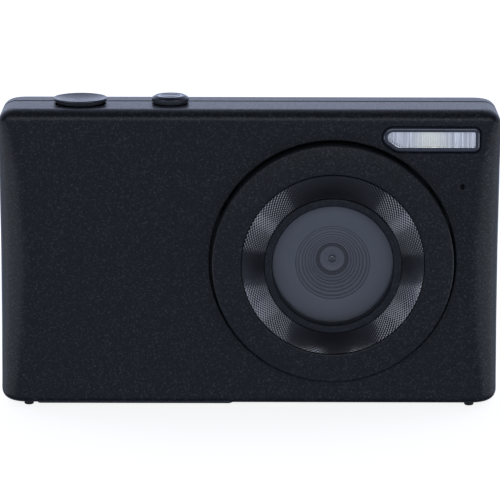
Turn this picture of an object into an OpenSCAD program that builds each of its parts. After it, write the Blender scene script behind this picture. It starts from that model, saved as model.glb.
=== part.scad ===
// Compact digital camera, as an assembly of its separate pieces.
// The lens looks along -Y, +X is to the right of a person who faces the lens, and +Z is up.
// The origin is under the middle of the camera, on the surface that its feet stand on.

/* [Body] */
// Width of the body, side to side
body_w = 95; // [95:0.5:98]
// Height of the body without its feet
body_h = 57; // [57:0.5:60]
// Depth of the body, front face to rear face
body_d = 16.5; // [16.5:0.1:17.5]
// Thickness of the cover walls
wall = 1.4; // [1.2:0.1:1.4]
// Distance from the front face to the seam between the two covers
seam_depth = 10.5; // [10.5:0.1:11]
// Height of the feet under the body
foot_h = 0.7; // [0.5:0.1:0.8]

/* [Rounded edges] */
// Radius between the front face and the sides
side_front_r = 5.5; // [3:0.5:6]
// Radius between the rear face and the sides
side_rear_r = 2; // [1.6:0.2:2.4]
// Radius of the upper corners, seen from the front
top_corner_r = 3; // [2:0.5:5]
// Radius of the lower corners, seen from the front
base_corner_r = 2.5; // [1.6:0.1:3.5]
// Radius between the front face and the top
front_top_r = 2.2; // [1.6:0.1:3]
// Radius between the front face and the bottom
front_base_r = 1.5; // [1.5:0.1:1.8]
// Radius between the rear face and the top and bottom
rear_edge_r = 1.5; // [1.5:0.1:1.8]

/* [Lens] */
// Distance of the lens axis from the middle of the body
lens_x = 15.8; // [15:0.1:16]
// How far the lens axis lies below the middle of the body's height
lens_drop = 0.6; // [0:0.1:0.8]
// How far the lens assembly stands out of the front face
lens_proud = 3.7; // [3.7:0.1:4.5]
// Diameter of the outer lens ring
bezel_dia = 45.8; // [45:0.1:46]
// Diameter of the knurled trim ring
trim_dia = 34.6; // [32:0.1:36]
// Diameter of the lip ring around the window
lip_dia = 25.9; // [25.5:0.1:26.5]

/* [Controls] */
// Diameter of the shutter button
shutter_dia = 10.3; // [9.5:0.1:10.5]
// Travel of the shutter button
shutter_travel = 0.6; // [0.3:0.1:0.6]
// Diameter of the power button
power_dia = 7.1; // [6.5:0.1:7.5]
// Travel of the power button
power_travel = 0.4; // [0.2:0.1:0.4]
// How far the rear keys stand out of the rear face
key_proud = 0.4; // [0.3:0.1:0.6]
// Diameter of the round direction pad
pad_dia = 17.6; // [16.8:0.2:18]

/* [Flash window] */
// Width of the flash window
flash_w = 18.3; // [17:0.1:19]
// Height of the flash window
flash_h = 4.7; // [4.4:0.1:5]

/* [Display] */
// Width of the visible display
display_w = 57; // [54:0.5:57]
// Height of the visible display
display_h = 42.8; // [40:0.2:42.8]

/* [Power and storage] */
// Width of the battery
battery_w = 31.4; // [30:0.1:31.4]
// Thickness of the battery
battery_t = 5.7; // [5:0.1:5.7]
// Height of the battery
battery_h = 39.8; // [36:0.1:39.8]
// How far the battery door slides before it swings
door_slide = 1.5; // [1:0.1:1.5]

/* [Mounting] */
// Radius of the tripod socket
tripod_r = 3.2; // [3.2:0.05:3.3]

/* [Hidden] */
$fn = 64;
fine = 720;        // steps for the widest curves

slop = 1;          // how far a cut runs past the surface it opens
far = 200;         // more than the size of the whole camera
fit_gap = 0.1;     // room around a piece in its opening
board_t = 0.8;     // thickness of every circuit board

// Faces of the body
front_y = -(lens_proud + body_d + key_proud) / 2 + lens_proud;
rear_y = front_y + body_d;
seam_y = front_y + seam_depth;
seam_gap = 0.1;
base_z = foot_h;
top_z = base_z + body_h;
in_front_y = front_y + wall;
in_rear_y = rear_y - wall;
in_side_x = body_w / 2 - wall;
in_base_z = base_z + wall;
in_top_z = top_z - wall;

// Lens group: its front face, and the planes behind it
lens_at = [lens_x, base_z + body_h / 2 - lens_drop];
lens_front_y = front_y - lens_proud;
bezel_r = bezel_dia / 2;
bezel_gap = 0.6;
bezel_edge_y = front_y - 2.6;
bezel_rise = 0.45;
bezel_bevel = 0.3;
bezel_wall = 1.2;
bezel_back_y = in_front_y + 0.3;
trim_r = trim_dia / 2;
trim_seat_y = front_y - 2.2;
lip_r = lip_dia / 2;
lip_w = 1.55;
window_y = lens_front_y + 2.5;
window_t = 0.7;
seat_lip = 0.6;
baffle_y = window_y + window_t + fit_gap;
baffle_mouth_r = 7.1;
baffle_throat_r = 3.15;
baffle_depth = 3.3;
baffle_steps = 6;
baffle_t = 0.9;
nose_y = baffle_y + baffle_depth;
nose_r = 3.05;
barrel_r = 4.5;
barrel_bore_r = 2.5;
barrel_y = nose_y + 0.9;
barrel_end_y = nose_y + 3.9;
element_t = 0.9;
aperture_r = 0.7;
aperture_t = 0.2;
holder_half = [9.5, 6];
holder_tube_r = 6;
holder_y = barrel_end_y - 0.4;
holder_screw_x = 8;
sensor_board_y = seam_y - 1.5;
sensor_board_t = 0.7;
sensor_board_half = [11, 8];
sensor_half = [4.2, 3.4];
sensor_t = 0.9;
filter_half = [3, 3];
filter_t = 0.3;
lug_angles = [45, 135, 225, 315];
lug_w = 5;
lug_t = 0.75;
lug_y = in_front_y + 1.05;
lug_end_r = bezel_r + 3.3;
lug_screw_r = bezel_r + 1.7;
lug_pilot_depth = 1.6;

// Screws
case_screw_r = 0.7;
case_screw_head_r = 1.4;
case_screw_head_h = 0.8;
case_screw_l = 3;
case_screw_sink = 0.05;
case_screw_y = front_y + 7.5;
left_screw_z = [base_z + 8.9, base_z + 31.4];
right_screw_z = [base_z + 8.9, base_z + 46.9];
base_screw_x = 18;
inner_screw_r = 0.6;
inner_screw_head_r = 1.2;
inner_screw_head_h = 0.6;
inner_screw_l = 2.6;
recess_w = 0.35;
recess_depth = 0.35;
boss_r = 1.6;
pilot_r = 0.62;
pilot_depth = 2.8;
tongue_t = 1.4;
tongue_w = 5;
tongue_front_y = front_y + 6.2;

// Feet, strap pin, tripod socket and speaker
foot_x = 42.3;
foot_w = 1.8;
foot_l = 4;
foot_edge = 1.8;
foot_stem_r = 0.6;
foot_stem_h = 1.3;
pocket_z = [base_z + 37.9, base_z + 46.9];
pocket_y = [front_y + 5.6, front_y + 9.6];
pocket_depth = 4.1;
pocket_wall = 1;
strap_pin_r = 0.8;
strap_pin_sink = 1.5;
strap_pin_seat = 0.6;
strap_pin_play = 0.02;
tripod_at = [6, front_y + 5.8];
tripod_rim_r = 4.1;
tripod_top_z = in_base_z + 4.4;
tripod_bore_top_z = in_base_z + 3.4;
tripod_relief = [3.5, 0.4];
tripod_flange = [7, 3.9, 0.9];
tripod_boss_r = 4.2;
speaker_at = [31, front_y + 5.8];
speaker_size = [14, 7, 3];
speaker_cone_r = 2.8;
speaker_hole_r = 0.5;
speaker_hole_step = 2;
mic_at = [40.2, top_z - 14.5];
mic_hole_r = 0.48;
mic_r = 2;
mic_h = 1.4;

// Top controls: the cap, its neck in the top opening, its flange under the top, its stem
shutter_at = [-32.2, front_y + 8.2];
power_at = [-15.1, front_y + 8.2];
cap_clear = 0.1;
cap_h = 1.3;
shutter_r = shutter_dia / 2;
shutter_neck_r = shutter_r - 0.75;
shutter_hole_r = shutter_r - 0.25;
shutter_dish = 0.55;
shutter_rim = 0.5;
power_r = power_dia / 2;
power_neck_r = power_r - 0.4;
power_hole_r = power_r - 0.1;
power_top_r = power_r - 0.65;
power_cap_h = 1.55;
light_ring_r = [1.9, 2.45];
light_ring_t = 0.3;
hole_chamfer = 0.25;
flange_over = 0.5;
flange_t = 0.55;
flange_gap = 0.15;
guide_gap = 0.2;
guide_wall = 0.6;
guide_drop = 0.55;
stem_r = 1.3;
stem_end_z = in_top_z - 3.4;
bracket_z = in_top_z - 2.8;
bracket_t = 0.8;
bracket_x = [-41, -9.5];
bracket_y = [in_front_y + 0.8, in_rear_y - 0.7];
top_board_z = in_top_z - 6.6;
top_board_y = [in_front_y + 1, seam_y + 0.7];
post_x = [-38.5, -24, -11];
post_y = front_y + 5.1;
post_r = 1.2;
switch_half = 2.6;
switch_h = 1.2;
switch_plunger_r = 0.9;
switch_plunger_h = 0.5;
spring_coil_r = 3.6;
spring_wire_r = 0.12;
spring_turns = 3;
spring_turn_steps = 16;
spring_wire_sides = 6;

// Boards and frame behind the lens
main_board_y = seam_y - 0.6;
main_board_x = [-4, 44];
main_board_z = [base_z + 6, top_z - 5.2];
shield_low = [27, 30];
shield_size = [13, 13];
chip_low = [-2.5, 8];
chip_size = [9, 7];
shield_h = 1.7;
chip_h = 1;
chassis_y = seam_y + 0.3;
chassis_t = 0.7;
chassis_x = [-9, 44.3];
chassis_z = [in_base_z + 1.8, in_top_z - 0.3];
chassis_window = [[9, 34], [22, 38]];
chassis_screw_low = [[0, base_z + 4.1], [42, base_z + 4.1]];
chassis_screw_high = [[-5, top_z - 3.1], [42, top_z - 3.1]];
chassis_screws_at = concat(chassis_screw_low, chassis_screw_high);
usb_at = [front_y + 8.25, base_z + 24.4];
usb_size = [3.2, 9, 7.1];
usb_shell = 0.3;
usb_tongue = [0.7, 6.7, 5.5];

// Flash
flash_right_x = 43.4;
flash_x = [flash_right_x - flash_w, flash_right_x];
flash_z = [top_z - 3.15 - flash_h, top_z - 3.15];
flash_cut = [3.3, 2.3];
flash_radii = [0.3, 0.7, 0.9, 2.2];
flash_proud = 0.1;
flash_t = 1.2;
flash_rib_w = 0.3;
flash_rib_step = 0.6;
flash_rib_h = 0.25;
flash_rib_margin = 1.5;
flash_rim = 0.7;
reflector_t = 0.4;
reflector_depth = 2.6;
led_x = 35.1;
led_size = [3, 0.6, 3];

// Rear controls
key_y = rear_y + key_proud;
key_back_y = in_rear_y - 0.9;
key_flange_t = 0.7;
plunger_y = in_rear_y - 1.9;
plunger_r = 0.8;
key_r = 2.8;
key_flange_r = 3.4;
key_gap = 0.15;
key_bevel = 0.2;
pad_at = [-31, base_z + 23.4];
pad_r = pad_dia / 2;
pad_gap = 0.3;
pad_inner_r = 4.3;
pad_span = 80;
pad_flange = 0.9;
pad_plunger_r = 6.5;
ok_r = 3.9;
ok_skirt = [4.8, 0.45];
ok_skirt_y = in_rear_y - 1.65;
mode_at = [pad_at[0] - 7, base_z + 8.2];
delete_at = [pad_at[0] + 7, base_z + 8.2];
playback_at = [pad_at[0] - 7, base_z + 40.4];
menu_at = [pad_at[0] + 7, base_z + 40.4];
arrow_angles = [["up_key", -90], ["down_key", 90], ["left_key", 0], ["right_key", 180]];
zoom_at = [pad_at[0], base_z + 49.7];
zoom_half = [7.5, 2.3];
zoom_gap = 0.25;
zoom_wing = [8.3, 2, 0.55];
zoom_wing_y = in_rear_y - 1;
zoom_dish = 0.35;
zoom_plunger_x = 5;
zoom_pivot_y = in_rear_y - 0.7;
zoom_pivot_r = 0.3;
zoom_pivot_play = 0.05;
zoom_pivot_z = [2.6, 3];
zoom_lug = [0.8, 1.2];
key_board_y = rear_y - 4.8;
key_board_x = [-44.2, -15.6];
key_board_z = [base_z + 4.4, base_z + 52.2];
key_board_screws_at = [[-42.6, base_z + 17.4], [-42.6, base_z + 35.4], [-18.3, base_z + 43.9]];
dome_r = [1.9, 1.2];
dome_h = 0.25;
pipe_at = [-18.5, base_z + 49.7];
pipe_r = 0.7;

// Display
display_at = [15, base_z + 28.9];
glass_over = 1;
glass_t = 0.8;
glass_sink = 0.05;
glass_corner_r = 1.2;
panel_over = [0.5, 1];
panel_t = 1.7;
tray_over = [0.9, 1.4];
tray_y = seam_y + 1.2;
tray_floor = 0.6;
tray_rim = 0.3;
tray_t = 1.5;

// Battery compartment: the battery, its box, the latch beside it and the card behind it
battery_x = -6.2;
battery_y = front_y + 2.5;
battery_z = in_base_z + 1;
box_play = 0.1;
box_wall = 0.6;
box_roof = 1.2;
box_low_z = in_base_z + 0.5;
contact_x = [3.6, 7.6, 11.6];
contact_size = [2, 3.6, 0.2];
latch_y = [front_y + 3.6, front_y + 7.6];
latch_top_z = in_base_z + 7;
latch_t = 0.5;
latch_hook = 1.4;
latch_hook_z = [in_base_z + 0.05, in_base_z + 0.75];
latch_play = 0.2;
card_x = [-36.2, -12.2];
card_y = front_y + 9.35;
card_t = 2.1;
card_z = [in_base_z + 1.1, in_base_z + 33.1];
card_corner = 3;
socket_play = 0.1;
socket_wall = 0.15;
socket_z = [base_z + 5.4, in_base_z + 34.5];

// Battery door: a proud outer plate, an inner lid, and rails that hold it on the hinge plate
door_x = [-40.6, -2.7];
door_y = [front_y + 1.8, front_y + 12.2];
door_proud = 0.4;
door_under = 0.05;
door_bevel = 0.25;
door_end_slant = 0.8;
lid_x = [-38.2, -5];
lid_y = [front_y + 1.8, front_y + 12.2];
lid_top_z = base_z + 0.9;
opening_x = [-41, -3.4];
opening_y = [front_y + 1.6, front_y + 12.4];
hinge_at = [-39.4, base_z + 0.75];
knuckle_r = 0.74;
hinge_pin_r = 0.35;
hinge_bore_r = 0.4;
hinge_plate_x = -8.5;
hinge_plate_z = [base_z + 0.95, base_z + 1.5];
knuckle_y = [front_y + 3.6, front_y + 10.4];
pin_y = [front_y + 2.1, front_y + 11.9];
hinge_lugs_y = [[front_y + 2, front_y + 3.4], [front_y + 10.6, front_y + 12]];
lug_bar_z = [base_z + 1.7, base_z + 3];
rail_x = [-30, -12];
rail_t = 0.3;
rail_lip = 0.5;
rail_gap = 0.08;

// ---------------------------------------------------------------- outlines and simple solids

// Outline on X and Y, raised from z0 to z1
module slab_z(z0, z1) {
    translate([0, 0, z0]) linear_extrude(z1 - z0) children();
}

// Outline on X and Z, thickened from y0 to y1
module slab_y(y0, y1) {
    translate([0, y1, 0]) rotate([90, 0, 0]) linear_extrude(y1 - y0) children();
}

// Outline on Y and Z, thickened from x0 to x1
module slab_x(x0, x1) {
    translate([x0, 0, 0]) rotate([90, 0, 90]) linear_extrude(x1 - x0) children();
}

// Box between two opposite corners
module block(low, high) {
    translate(low) cube(high - low);
}

// Cylinder along X; at is its Y and Z
module rod_x(at, x0, x1, r) {
    translate([x0, at[0], at[1]]) rotate([0, 90, 0]) cylinder(r = r, h = x1 - x0);
}

// Cylinder along Y; at is its X and Z
module rod_y(at, y0, y1, r) {
    translate([at[0], y1, at[1]]) rotate([90, 0, 0]) cylinder(r = r, h = y1 - y0);
}

// Cylinder along Z; at is its X and Y
module rod_z(at, z0, z1, r) {
    translate([at[0], at[1], z0]) cylinder(r = r, h = z1 - z0);
}

// Profile of radius and Y, turned about an axis along Y
module turned_y(at) {
    translate([at[0], 0, at[1]]) rotate([-90, 0, 0]) rotate_extrude() children();
}

// Profile of radius and Z, turned about an axis along Z
module turned_z(at) {
    translate([at[0], at[1], 0]) rotate_extrude() children();
}

// Rectangle between two corners
module rect(x, y) {
    translate([x[0], y[0]]) square([x[1] - x[0], y[1] - y[0]]);
}

// Rectangle with half its size given, centred on a point
module plate(at, half) {
    translate(at - half) square(2 * half);
}

// What rounding a corner takes away; sx and sy point from the corner into the rectangle
module corner_waste(x, y, sx, sy, r) {
    difference() {
        translate([x - (sx > 0 ? slop : r), y - (sy > 0 ? slop : r)]) square(r + slop);
        translate([x + sx * r, y + sy * r]) circle(r);
    }
}

// Rectangle with its own radius at each corner, from the lower left one anticlockwise
module round_rect(x, y, r) {
    difference() {
        rect(x, y);
        corner_waste(x[0], y[0], 1, 1, r[0]);
        corner_waste(x[1], y[0], -1, 1, r[1]);
        corner_waste(x[1], y[1], -1, -1, r[2]);
        corner_waste(x[0], y[1], 1, -1, r[3]);
    }
}

// Slot with round ends along its second axis
module slot_outline(at, w, l) {
    translate([at[0] - w / 2, at[1] - l / 2 + w / 2]) square([w, l - w]);
    for (end = [-1, 1]) {
        translate([at[0], at[1] + end * (l - w) / 2]) circle(w / 2);
    }
}

// ---------------------------------------------------------------- body shape

smallest_r = 0.1;
function inner_radii(radii, inset) = [for (r = radii) max(r - inset, smallest_r)];

// The body's outer shape, or the same shape drawn in by an inset
module body_shape(inset = 0) {
    x = [-body_w / 2 + inset, body_w / 2 - inset];
    y = [front_y + inset, rear_y - inset];
    z = [base_z + inset, top_z - inset];
    from_front = [base_corner_r, base_corner_r, top_corner_r, top_corner_r];
    from_above = [side_front_r, side_front_r, side_rear_r, side_rear_r];
    from_side = [front_base_r, rear_edge_r, rear_edge_r, front_top_r];
    intersection() {
        slab_y(y[0] - slop, y[1] + slop) round_rect(x, z, inner_radii(from_front, inset));
        slab_z(z[0] - slop, z[1] + slop) round_rect(x, y, inner_radii(from_above, inset));
        slab_x(x[0] - slop, x[1] + slop) round_rect(y, z, inner_radii(from_side, inset));
    }
}

module shell_between(y0, y1) {
    intersection() {
        difference() {
            body_shape();
            body_shape(wall);
        }
        block([-far, y0, -far], [far, y1, far]);
    }
}

// Openings for the two top buttons, which the seam between the covers crosses
module button_openings() {
    for (opening = [[shutter_at, shutter_hole_r], [power_at, power_hole_r]]) {
        rod_z(opening[0], in_top_z - slop, top_z + slop, opening[1]);
        translate([opening[0][0], opening[0][1], top_z - hole_chamfer])
            cylinder(r1 = opening[1], r2 = opening[1] + 2 * hole_chamfer, h = 2 * hole_chamfer);
    }
}

// Opening under the battery and card, which the seam crosses too
module door_opening() {
    block([opening_x[0], opening_y[0], base_z - slop], [opening_x[1], opening_y[1], in_base_z + slop]);
}

module foot_sockets() {
    for (x = [-foot_x, foot_x], y = foot_rows()) {
        rod_z([x, y], base_z - slop, in_base_z + slop, foot_stem_r + fit_gap / 2);
    }
}

function foot_rows() = [
    front_y + front_base_r + foot_l / 2 + fit_gap,
    rear_y - rear_edge_r - foot_l / 2 - fit_gap
];

// ---------------------------------------------------------------- screws

module cross_recess(length) {
    for (turn = [0, 90]) {
        rotate(turn) translate([-length / 2, -recess_w / 2, -recess_depth])
            cube([length, recess_w, recess_depth + slop]);
    }
}

// Countersunk screw, its head's face at the origin and its shaft along -Z
module case_screw() {
    difference() {
        union() {
            translate([0, 0, -case_screw_head_h])
                cylinder(r1 = case_screw_r, r2 = case_screw_head_r, h = case_screw_head_h);
            translate([0, 0, -case_screw_l]) cylinder(r = case_screw_r, h = case_screw_l - case_screw_head_h);
        }
        cross_recess(1.2 * case_screw_head_r);
    }
}

// Room for a case screw: a countersink and a clear hole
module case_screw_room() {
    translate([0, 0, -case_screw_head_h])
        cylinder(r1 = case_screw_r + case_screw_sink, r2 = case_screw_head_r + case_screw_sink,
                 h = case_screw_head_h);
    cylinder(r = case_screw_head_r + case_screw_sink, h = slop);
    translate([0, 0, -case_screw_l - slop]) cylinder(r = case_screw_r + case_screw_sink, h = case_screw_l + slop);
}

// Puts its children at each case screw, +Z pointing out of the body
module at_case_screws() {
    for (z = left_screw_z) {
        translate([-body_w / 2 + case_screw_sink, case_screw_y, z]) rotate([0, -90, 0]) children();
    }
    for (z = right_screw_z) {
        translate([body_w / 2 - case_screw_sink, case_screw_y, z]) rotate([0, 90, 0]) children();
    }
    translate([base_screw_x, case_screw_y, base_z + case_screw_sink]) rotate([180, 0, 0]) children();
}

module case_screws() {
    color("dimgray") at_case_screws() case_screw();
}

// Pan head screw, the underside of its head at the origin and its shaft along -Z
module inner_screw(length) {
    difference() {
        union() {
            cylinder(r = inner_screw_head_r, h = inner_screw_head_h);
            translate([0, 0, -length]) cylinder(r = inner_screw_r, h = length);
        }
        translate([0, 0, inner_screw_head_h]) cross_recess(inner_screw_head_r);
    }
}

function lug_screw_at(angle) = lens_at + lug_screw_r * [cos(angle), sin(angle)];
function holder_screw_at(side) = lens_at + [side * holder_screw_x, 0];

module inner_screws() {
    color("silver") {
        for (at = chassis_screws_at) {
            translate([at[0], chassis_y, at[1]]) rotate([90, 0, 0]) inner_screw(inner_screw_l);
        }
        for (at = key_board_screws_at) {
            translate([at[0], key_board_y, at[1]]) rotate([90, 0, 0]) inner_screw(inner_screw_l);
        }
        for (side = [-1, 1]) {
            at = holder_screw_at(side);
            translate([at[0], holder_y, at[1]]) rotate([90, 0, 0])
                inner_screw(sensor_board_y + sensor_board_t - holder_y);
        }
        for (angle = lug_angles) {
            at = lug_screw_at(angle);
            translate([at[0], lug_y + lug_t, at[1]]) rotate([-90, 0, 0])
                inner_screw(lug_t + lug_pilot_depth - fit_gap);
        }
    }
}

// ---------------------------------------------------------------- covers and frame

// Walls around the pocket that the strap pin crosses
module strap_pocket_walls() {
    intersection() {
        body_shape();
        block([-body_w / 2, pocket_y[0] - pocket_wall, pocket_z[0] - pocket_wall],
              [-body_w / 2 + pocket_depth + pocket_wall, seam_y - seam_gap / 2, pocket_z[1] + pocket_wall]);
    }
}

module front_cover() {
    color([0.13, 0.14, 0.17]) difference() {
        union() {
            shell_between(front_y - slop, seam_y - seam_gap / 2);
            strap_pocket_walls();
            for (angle = lug_angles) {
                rod_y(lug_screw_at(angle), in_front_y - fit_gap, lug_y - seam_gap / 2, boss_r);
            }
        }
        rod_y(lens_at, front_y - slop, in_front_y + slop, bezel_r + bezel_gap);
        slab_y(front_y - slop, in_front_y + slop) flash_outline(fit_gap);
        rod_y(mic_at, front_y - slop, in_front_y + slop, mic_hole_r);
        button_openings();
        door_opening();
        foot_sockets();
        at_case_screws() case_screw_room();
        rod_z(tripod_at, base_z - slop, in_base_z + slop, tripod_rim_r + fit_gap);
        for (row = [-2:2]) {
            rod_z([speaker_at[0] + row * speaker_hole_step, speaker_at[1]],
                  base_z - slop, in_base_z + slop, speaker_hole_r);
        }
        slab_x(in_side_x - slop, body_w / 2 + slop)
            slot_outline(usb_at, usb_size[0] + 2 * fit_gap, usb_size[1] + 2 * fit_gap);
        block([-body_w / 2 - slop, pocket_y[0], pocket_z[0]],
              [-body_w / 2 + pocket_depth, pocket_y[1], pocket_z[1]]);
        rod_z(strap_pin_at(), pocket_z[0] - strap_pin_seat, pocket_z[1] + strap_pin_seat,
              strap_pin_r + strap_pin_play);
        for (angle = lug_angles) {
            rod_y(lug_screw_at(angle), lug_y - lug_pilot_depth, lug_y + slop, pilot_r);
        }
    }
}

function strap_pin_at() = [-body_w / 2 + strap_pin_sink, (pocket_y[0] + pocket_y[1]) / 2];

module strap_pin() {
    color("silver")
        rod_z(strap_pin_at(), pocket_z[0] - strap_pin_seat, pocket_z[1] + strap_pin_seat, strap_pin_r);
}

// Tongues of the rear cover that reach forward inside the front cover for the case screws
module cover_tongues() {
    reach = in_side_x - fit_gap;
    for (screw = [[-1, left_screw_z], [1, right_screw_z]]) {
        for (z = screw[1]) {
            x = [screw[0] * reach, screw[0] * (reach - tongue_t)];
            block([min(x), tongue_front_y, z - tongue_w / 2],
                  [max(x), in_rear_y + fit_gap, z + tongue_w / 2]);
            block([min(screw[0] * (in_side_x + fit_gap), x[1]), seam_y + seam_gap, z - tongue_w / 2],
                  [max(screw[0] * (in_side_x + fit_gap), x[1]), in_rear_y + fit_gap, z + tongue_w / 2]);
        }
    }
    block([base_screw_x - tongue_w / 2, tongue_front_y, in_base_z + fit_gap],
          [base_screw_x + tongue_w / 2, in_rear_y + fit_gap, in_base_z + fit_gap + tongue_t]);
    block([base_screw_x - tongue_w / 2, seam_y + seam_gap, in_base_z - fit_gap],
          [base_screw_x + tongue_w / 2, in_rear_y + fit_gap, in_base_z + fit_gap + tongue_t]);
}

module rear_cover() {
    color([0.12, 0.13, 0.15]) difference() {
        union() {
            shell_between(seam_y + seam_gap / 2, rear_y + slop);
            cover_tongues();
            for (at = chassis_screws_at) {
                rod_y(at, chassis_y + chassis_t + seam_gap / 2, in_rear_y + fit_gap, boss_r);
            }
            for (at = key_board_screws_at) {
                rod_y(at, key_board_y + board_t + seam_gap / 2, in_rear_y + fit_gap, boss_r - fit_gap);
            }
            zoom_lugs();
        }
        button_openings();
        door_opening();
        foot_sockets();
        at_case_screws() case_screw_room();
        slab_y(in_rear_y - slop, rear_y + slop) display_outline(0, glass_corner_r);
        slab_y(rear_y - glass_t - glass_sink, rear_y + slop)
            display_outline(glass_over + fit_gap, glass_corner_r);
        for (at = chassis_screws_at) {
            rod_y(at, chassis_y, chassis_y + chassis_t + pilot_depth, pilot_r);
        }
        for (at = key_board_screws_at) {
            rod_y(at, key_board_y, key_board_y + pilot_depth, pilot_r);
        }
        for (at = [mode_at, menu_at, playback_at, delete_at]) {
            rod_y(at, in_rear_y - slop, rear_y + slop, key_r + key_gap);
        }
        rod_y(pad_at, in_rear_y - slop, rear_y + slop, pad_r + pad_gap);
        slab_y(in_rear_y - slop, rear_y + slop) zoom_outline(zoom_gap);
        rod_y(pipe_at, in_rear_y - slop, rear_y + slop, pipe_r + fit_gap / 2);
        rod_z([zoom_at[0], zoom_pivot_y], zoom_at[1] - zoom_half[0], zoom_at[1] + zoom_half[0],
              zoom_pivot_r + zoom_pivot_play);
    }
}

// Lugs inside the rear wall, above and below the zoom rocker, that its pivot turns in
module zoom_lugs() {
    for (z = [zoom_pivot_z[0], -zoom_pivot_z[1]]) {
        block([zoom_at[0] - zoom_lug[0], in_rear_y - zoom_lug[1], zoom_at[1] + z],
              [zoom_at[0] + zoom_lug[0], in_rear_y + fit_gap, zoom_at[1] + z + zoom_pivot_z[1] - zoom_pivot_z[0]]);
    }
}

module chassis() {
    color("silver") difference() {
        slab_y(chassis_y, chassis_y + chassis_t) round_rect(chassis_x, chassis_z, [1, 1, 1, 1]);
        slab_y(chassis_y - slop, chassis_y + chassis_t + slop)
            rect(chassis_window[0], chassis_window[1]);
        for (at = chassis_screws_at) {
            rod_y(at, chassis_y - slop, chassis_y + chassis_t + slop, pilot_r);
        }
    }
}

module rubber_feet() {
    color([0.08, 0.08, 0.09]) for (x = [-foot_x, foot_x], y = foot_rows()) {
        slab_z(0, base_z) slot_outline([x, y], foot_w, foot_l);
        rod_z([x, y], base_z, base_z + foot_stem_h, foot_stem_r);
    }
}

module tripod_nut() {
    color("darkgoldenrod") difference() {
        union() {
            rod_z(tripod_at, base_z, tripod_top_z, tripod_boss_r);
            rod_z(tripod_at, base_z, in_base_z + fit_gap, tripod_rim_r);
            block([tripod_at[0] - tripod_flange[0], tripod_at[1] - tripod_flange[1], in_base_z],
                  [tripod_at[0] + tripod_flange[0], tripod_at[1] + tripod_flange[1],
                   in_base_z + tripod_flange[2]]);
        }
        rod_z(tripod_at, base_z - slop, tripod_bore_top_z, tripod_r);
        rod_z(tripod_at, tripod_bore_top_z, tripod_bore_top_z + tripod_relief[1], tripod_relief[0]);
    }
}

module speaker() {
    low = [speaker_at[0] - speaker_size[0] / 2, speaker_at[1] - speaker_size[1] / 2, in_base_z + fit_gap];
    color("gray") difference() {
        block(low, low + speaker_size);
        rod_z(speaker_at, low[2] - slop, low[2] + fit_gap, speaker_cone_r);
    }
}

module microphone() {
    color("gray") difference() {
        rod_y(mic_at, in_front_y, in_front_y + mic_h, mic_r);
        rod_y(mic_at, in_front_y - slop, in_front_y + fit_gap, mic_hole_r);
    }
}

// ---------------------------------------------------------------- lens group

module lens_bezel() {
    step_y = bezel_edge_y - bezel_rise;
    seat_back_y = trim_seat_y + 0.8;
    color([0.12, 0.13, 0.16]) difference() {
        union() {
            turned_y(lens_at) polygon([
                [lip_r + fit_gap, trim_seat_y], [trim_r + fit_gap, trim_seat_y], [trim_r + fit_gap, step_y],
                [bezel_r - bezel_bevel, bezel_edge_y], [bezel_r, bezel_edge_y + bezel_bevel],
                [bezel_r, bezel_back_y], [bezel_r - bezel_wall, bezel_back_y],
                [bezel_r - bezel_wall, seat_back_y], [lip_r + fit_gap, seat_back_y]
            ]);
            for (angle = lug_angles) {
                lens_lug(angle);
            }
        }
        for (angle = lug_angles) {
            rod_y(lug_screw_at(angle), lug_y - slop, lug_y + lug_t + slop, pilot_r);
        }
    }
}

// A lug reaches out from the back of the ring behind the front wall
module lens_lug(angle) {
    root_r = bezel_r - bezel_wall;
    translate([lens_at[0], 0, lens_at[1]]) rotate([0, -angle, 0]) {
        block([root_r, bezel_back_y - fit_gap, -lug_w / 2], [bezel_r, lug_y + lug_t, lug_w / 2]);
        block([root_r, lug_y, -lug_w / 2], [lug_end_r, lug_y + lug_t, lug_w / 2]);
    }
}

module lens_trim_ring() {
    color([0.18, 0.18, 0.2]) turned_y(lens_at) polygon([
        [lip_r + fit_gap, trim_seat_y], [trim_r, trim_seat_y],
        [trim_r, bezel_edge_y - bezel_rise], [lip_r + fit_gap, lens_front_y + fit_gap / 2]
    ]);
}

module lens_lip_ring() {
    bevel = 0.15;
    inner_r = lip_r - lip_w;
    seat_r = inner_r + seat_lip;
    color([0.05, 0.05, 0.06]) turned_y(lens_at) polygon([
        [inner_r, lens_front_y + bevel], [inner_r + bevel, lens_front_y], [lip_r - bevel, lens_front_y],
        [lip_r, lens_front_y + bevel], [lip_r, in_front_y], [seat_r, in_front_y],
        [seat_r, window_y], [inner_r, window_y]
    ]);
}

module lens_window() {
    color([0.6, 0.65, 0.7, 0.35])
        rod_y(lens_at, window_y, window_y + window_t, lip_r - lip_w + seat_lip - fit_gap / 2);
}

// Stepped funnel that leads from behind the window down to the nose of the barrel
module lens_baffle() {
    outer_r = lip_r - lip_w + seat_lip - fit_gap / 2;
    tread = (baffle_mouth_r - baffle_throat_r) / baffle_steps;
    rise = baffle_depth / baffle_steps;
    stairs = [for (i = [0:baffle_steps - 1], corner = [0, 1])
        [baffle_mouth_r - (i + corner) * tread, baffle_y + (i + 1) * rise]];
    color([0.3, 0.31, 0.34]) turned_y(lens_at) polygon(concat(
        [[outer_r, baffle_y], [baffle_mouth_r, baffle_y]],
        stairs,
        [[baffle_throat_r, nose_y + baffle_t / 2], [baffle_mouth_r + baffle_t, baffle_y + baffle_t],
         [outer_r, baffle_y + baffle_t]]
    ));
}

module lens_barrel() {
    color([0.08, 0.08, 0.09]) turned_y(lens_at) polygon([
        [barrel_bore_r, nose_y], [nose_r, nose_y], [nose_r, barrel_y], [barrel_r, barrel_y],
        [barrel_r, barrel_end_y], [barrel_bore_r, barrel_end_y]
    ]);
}

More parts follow.
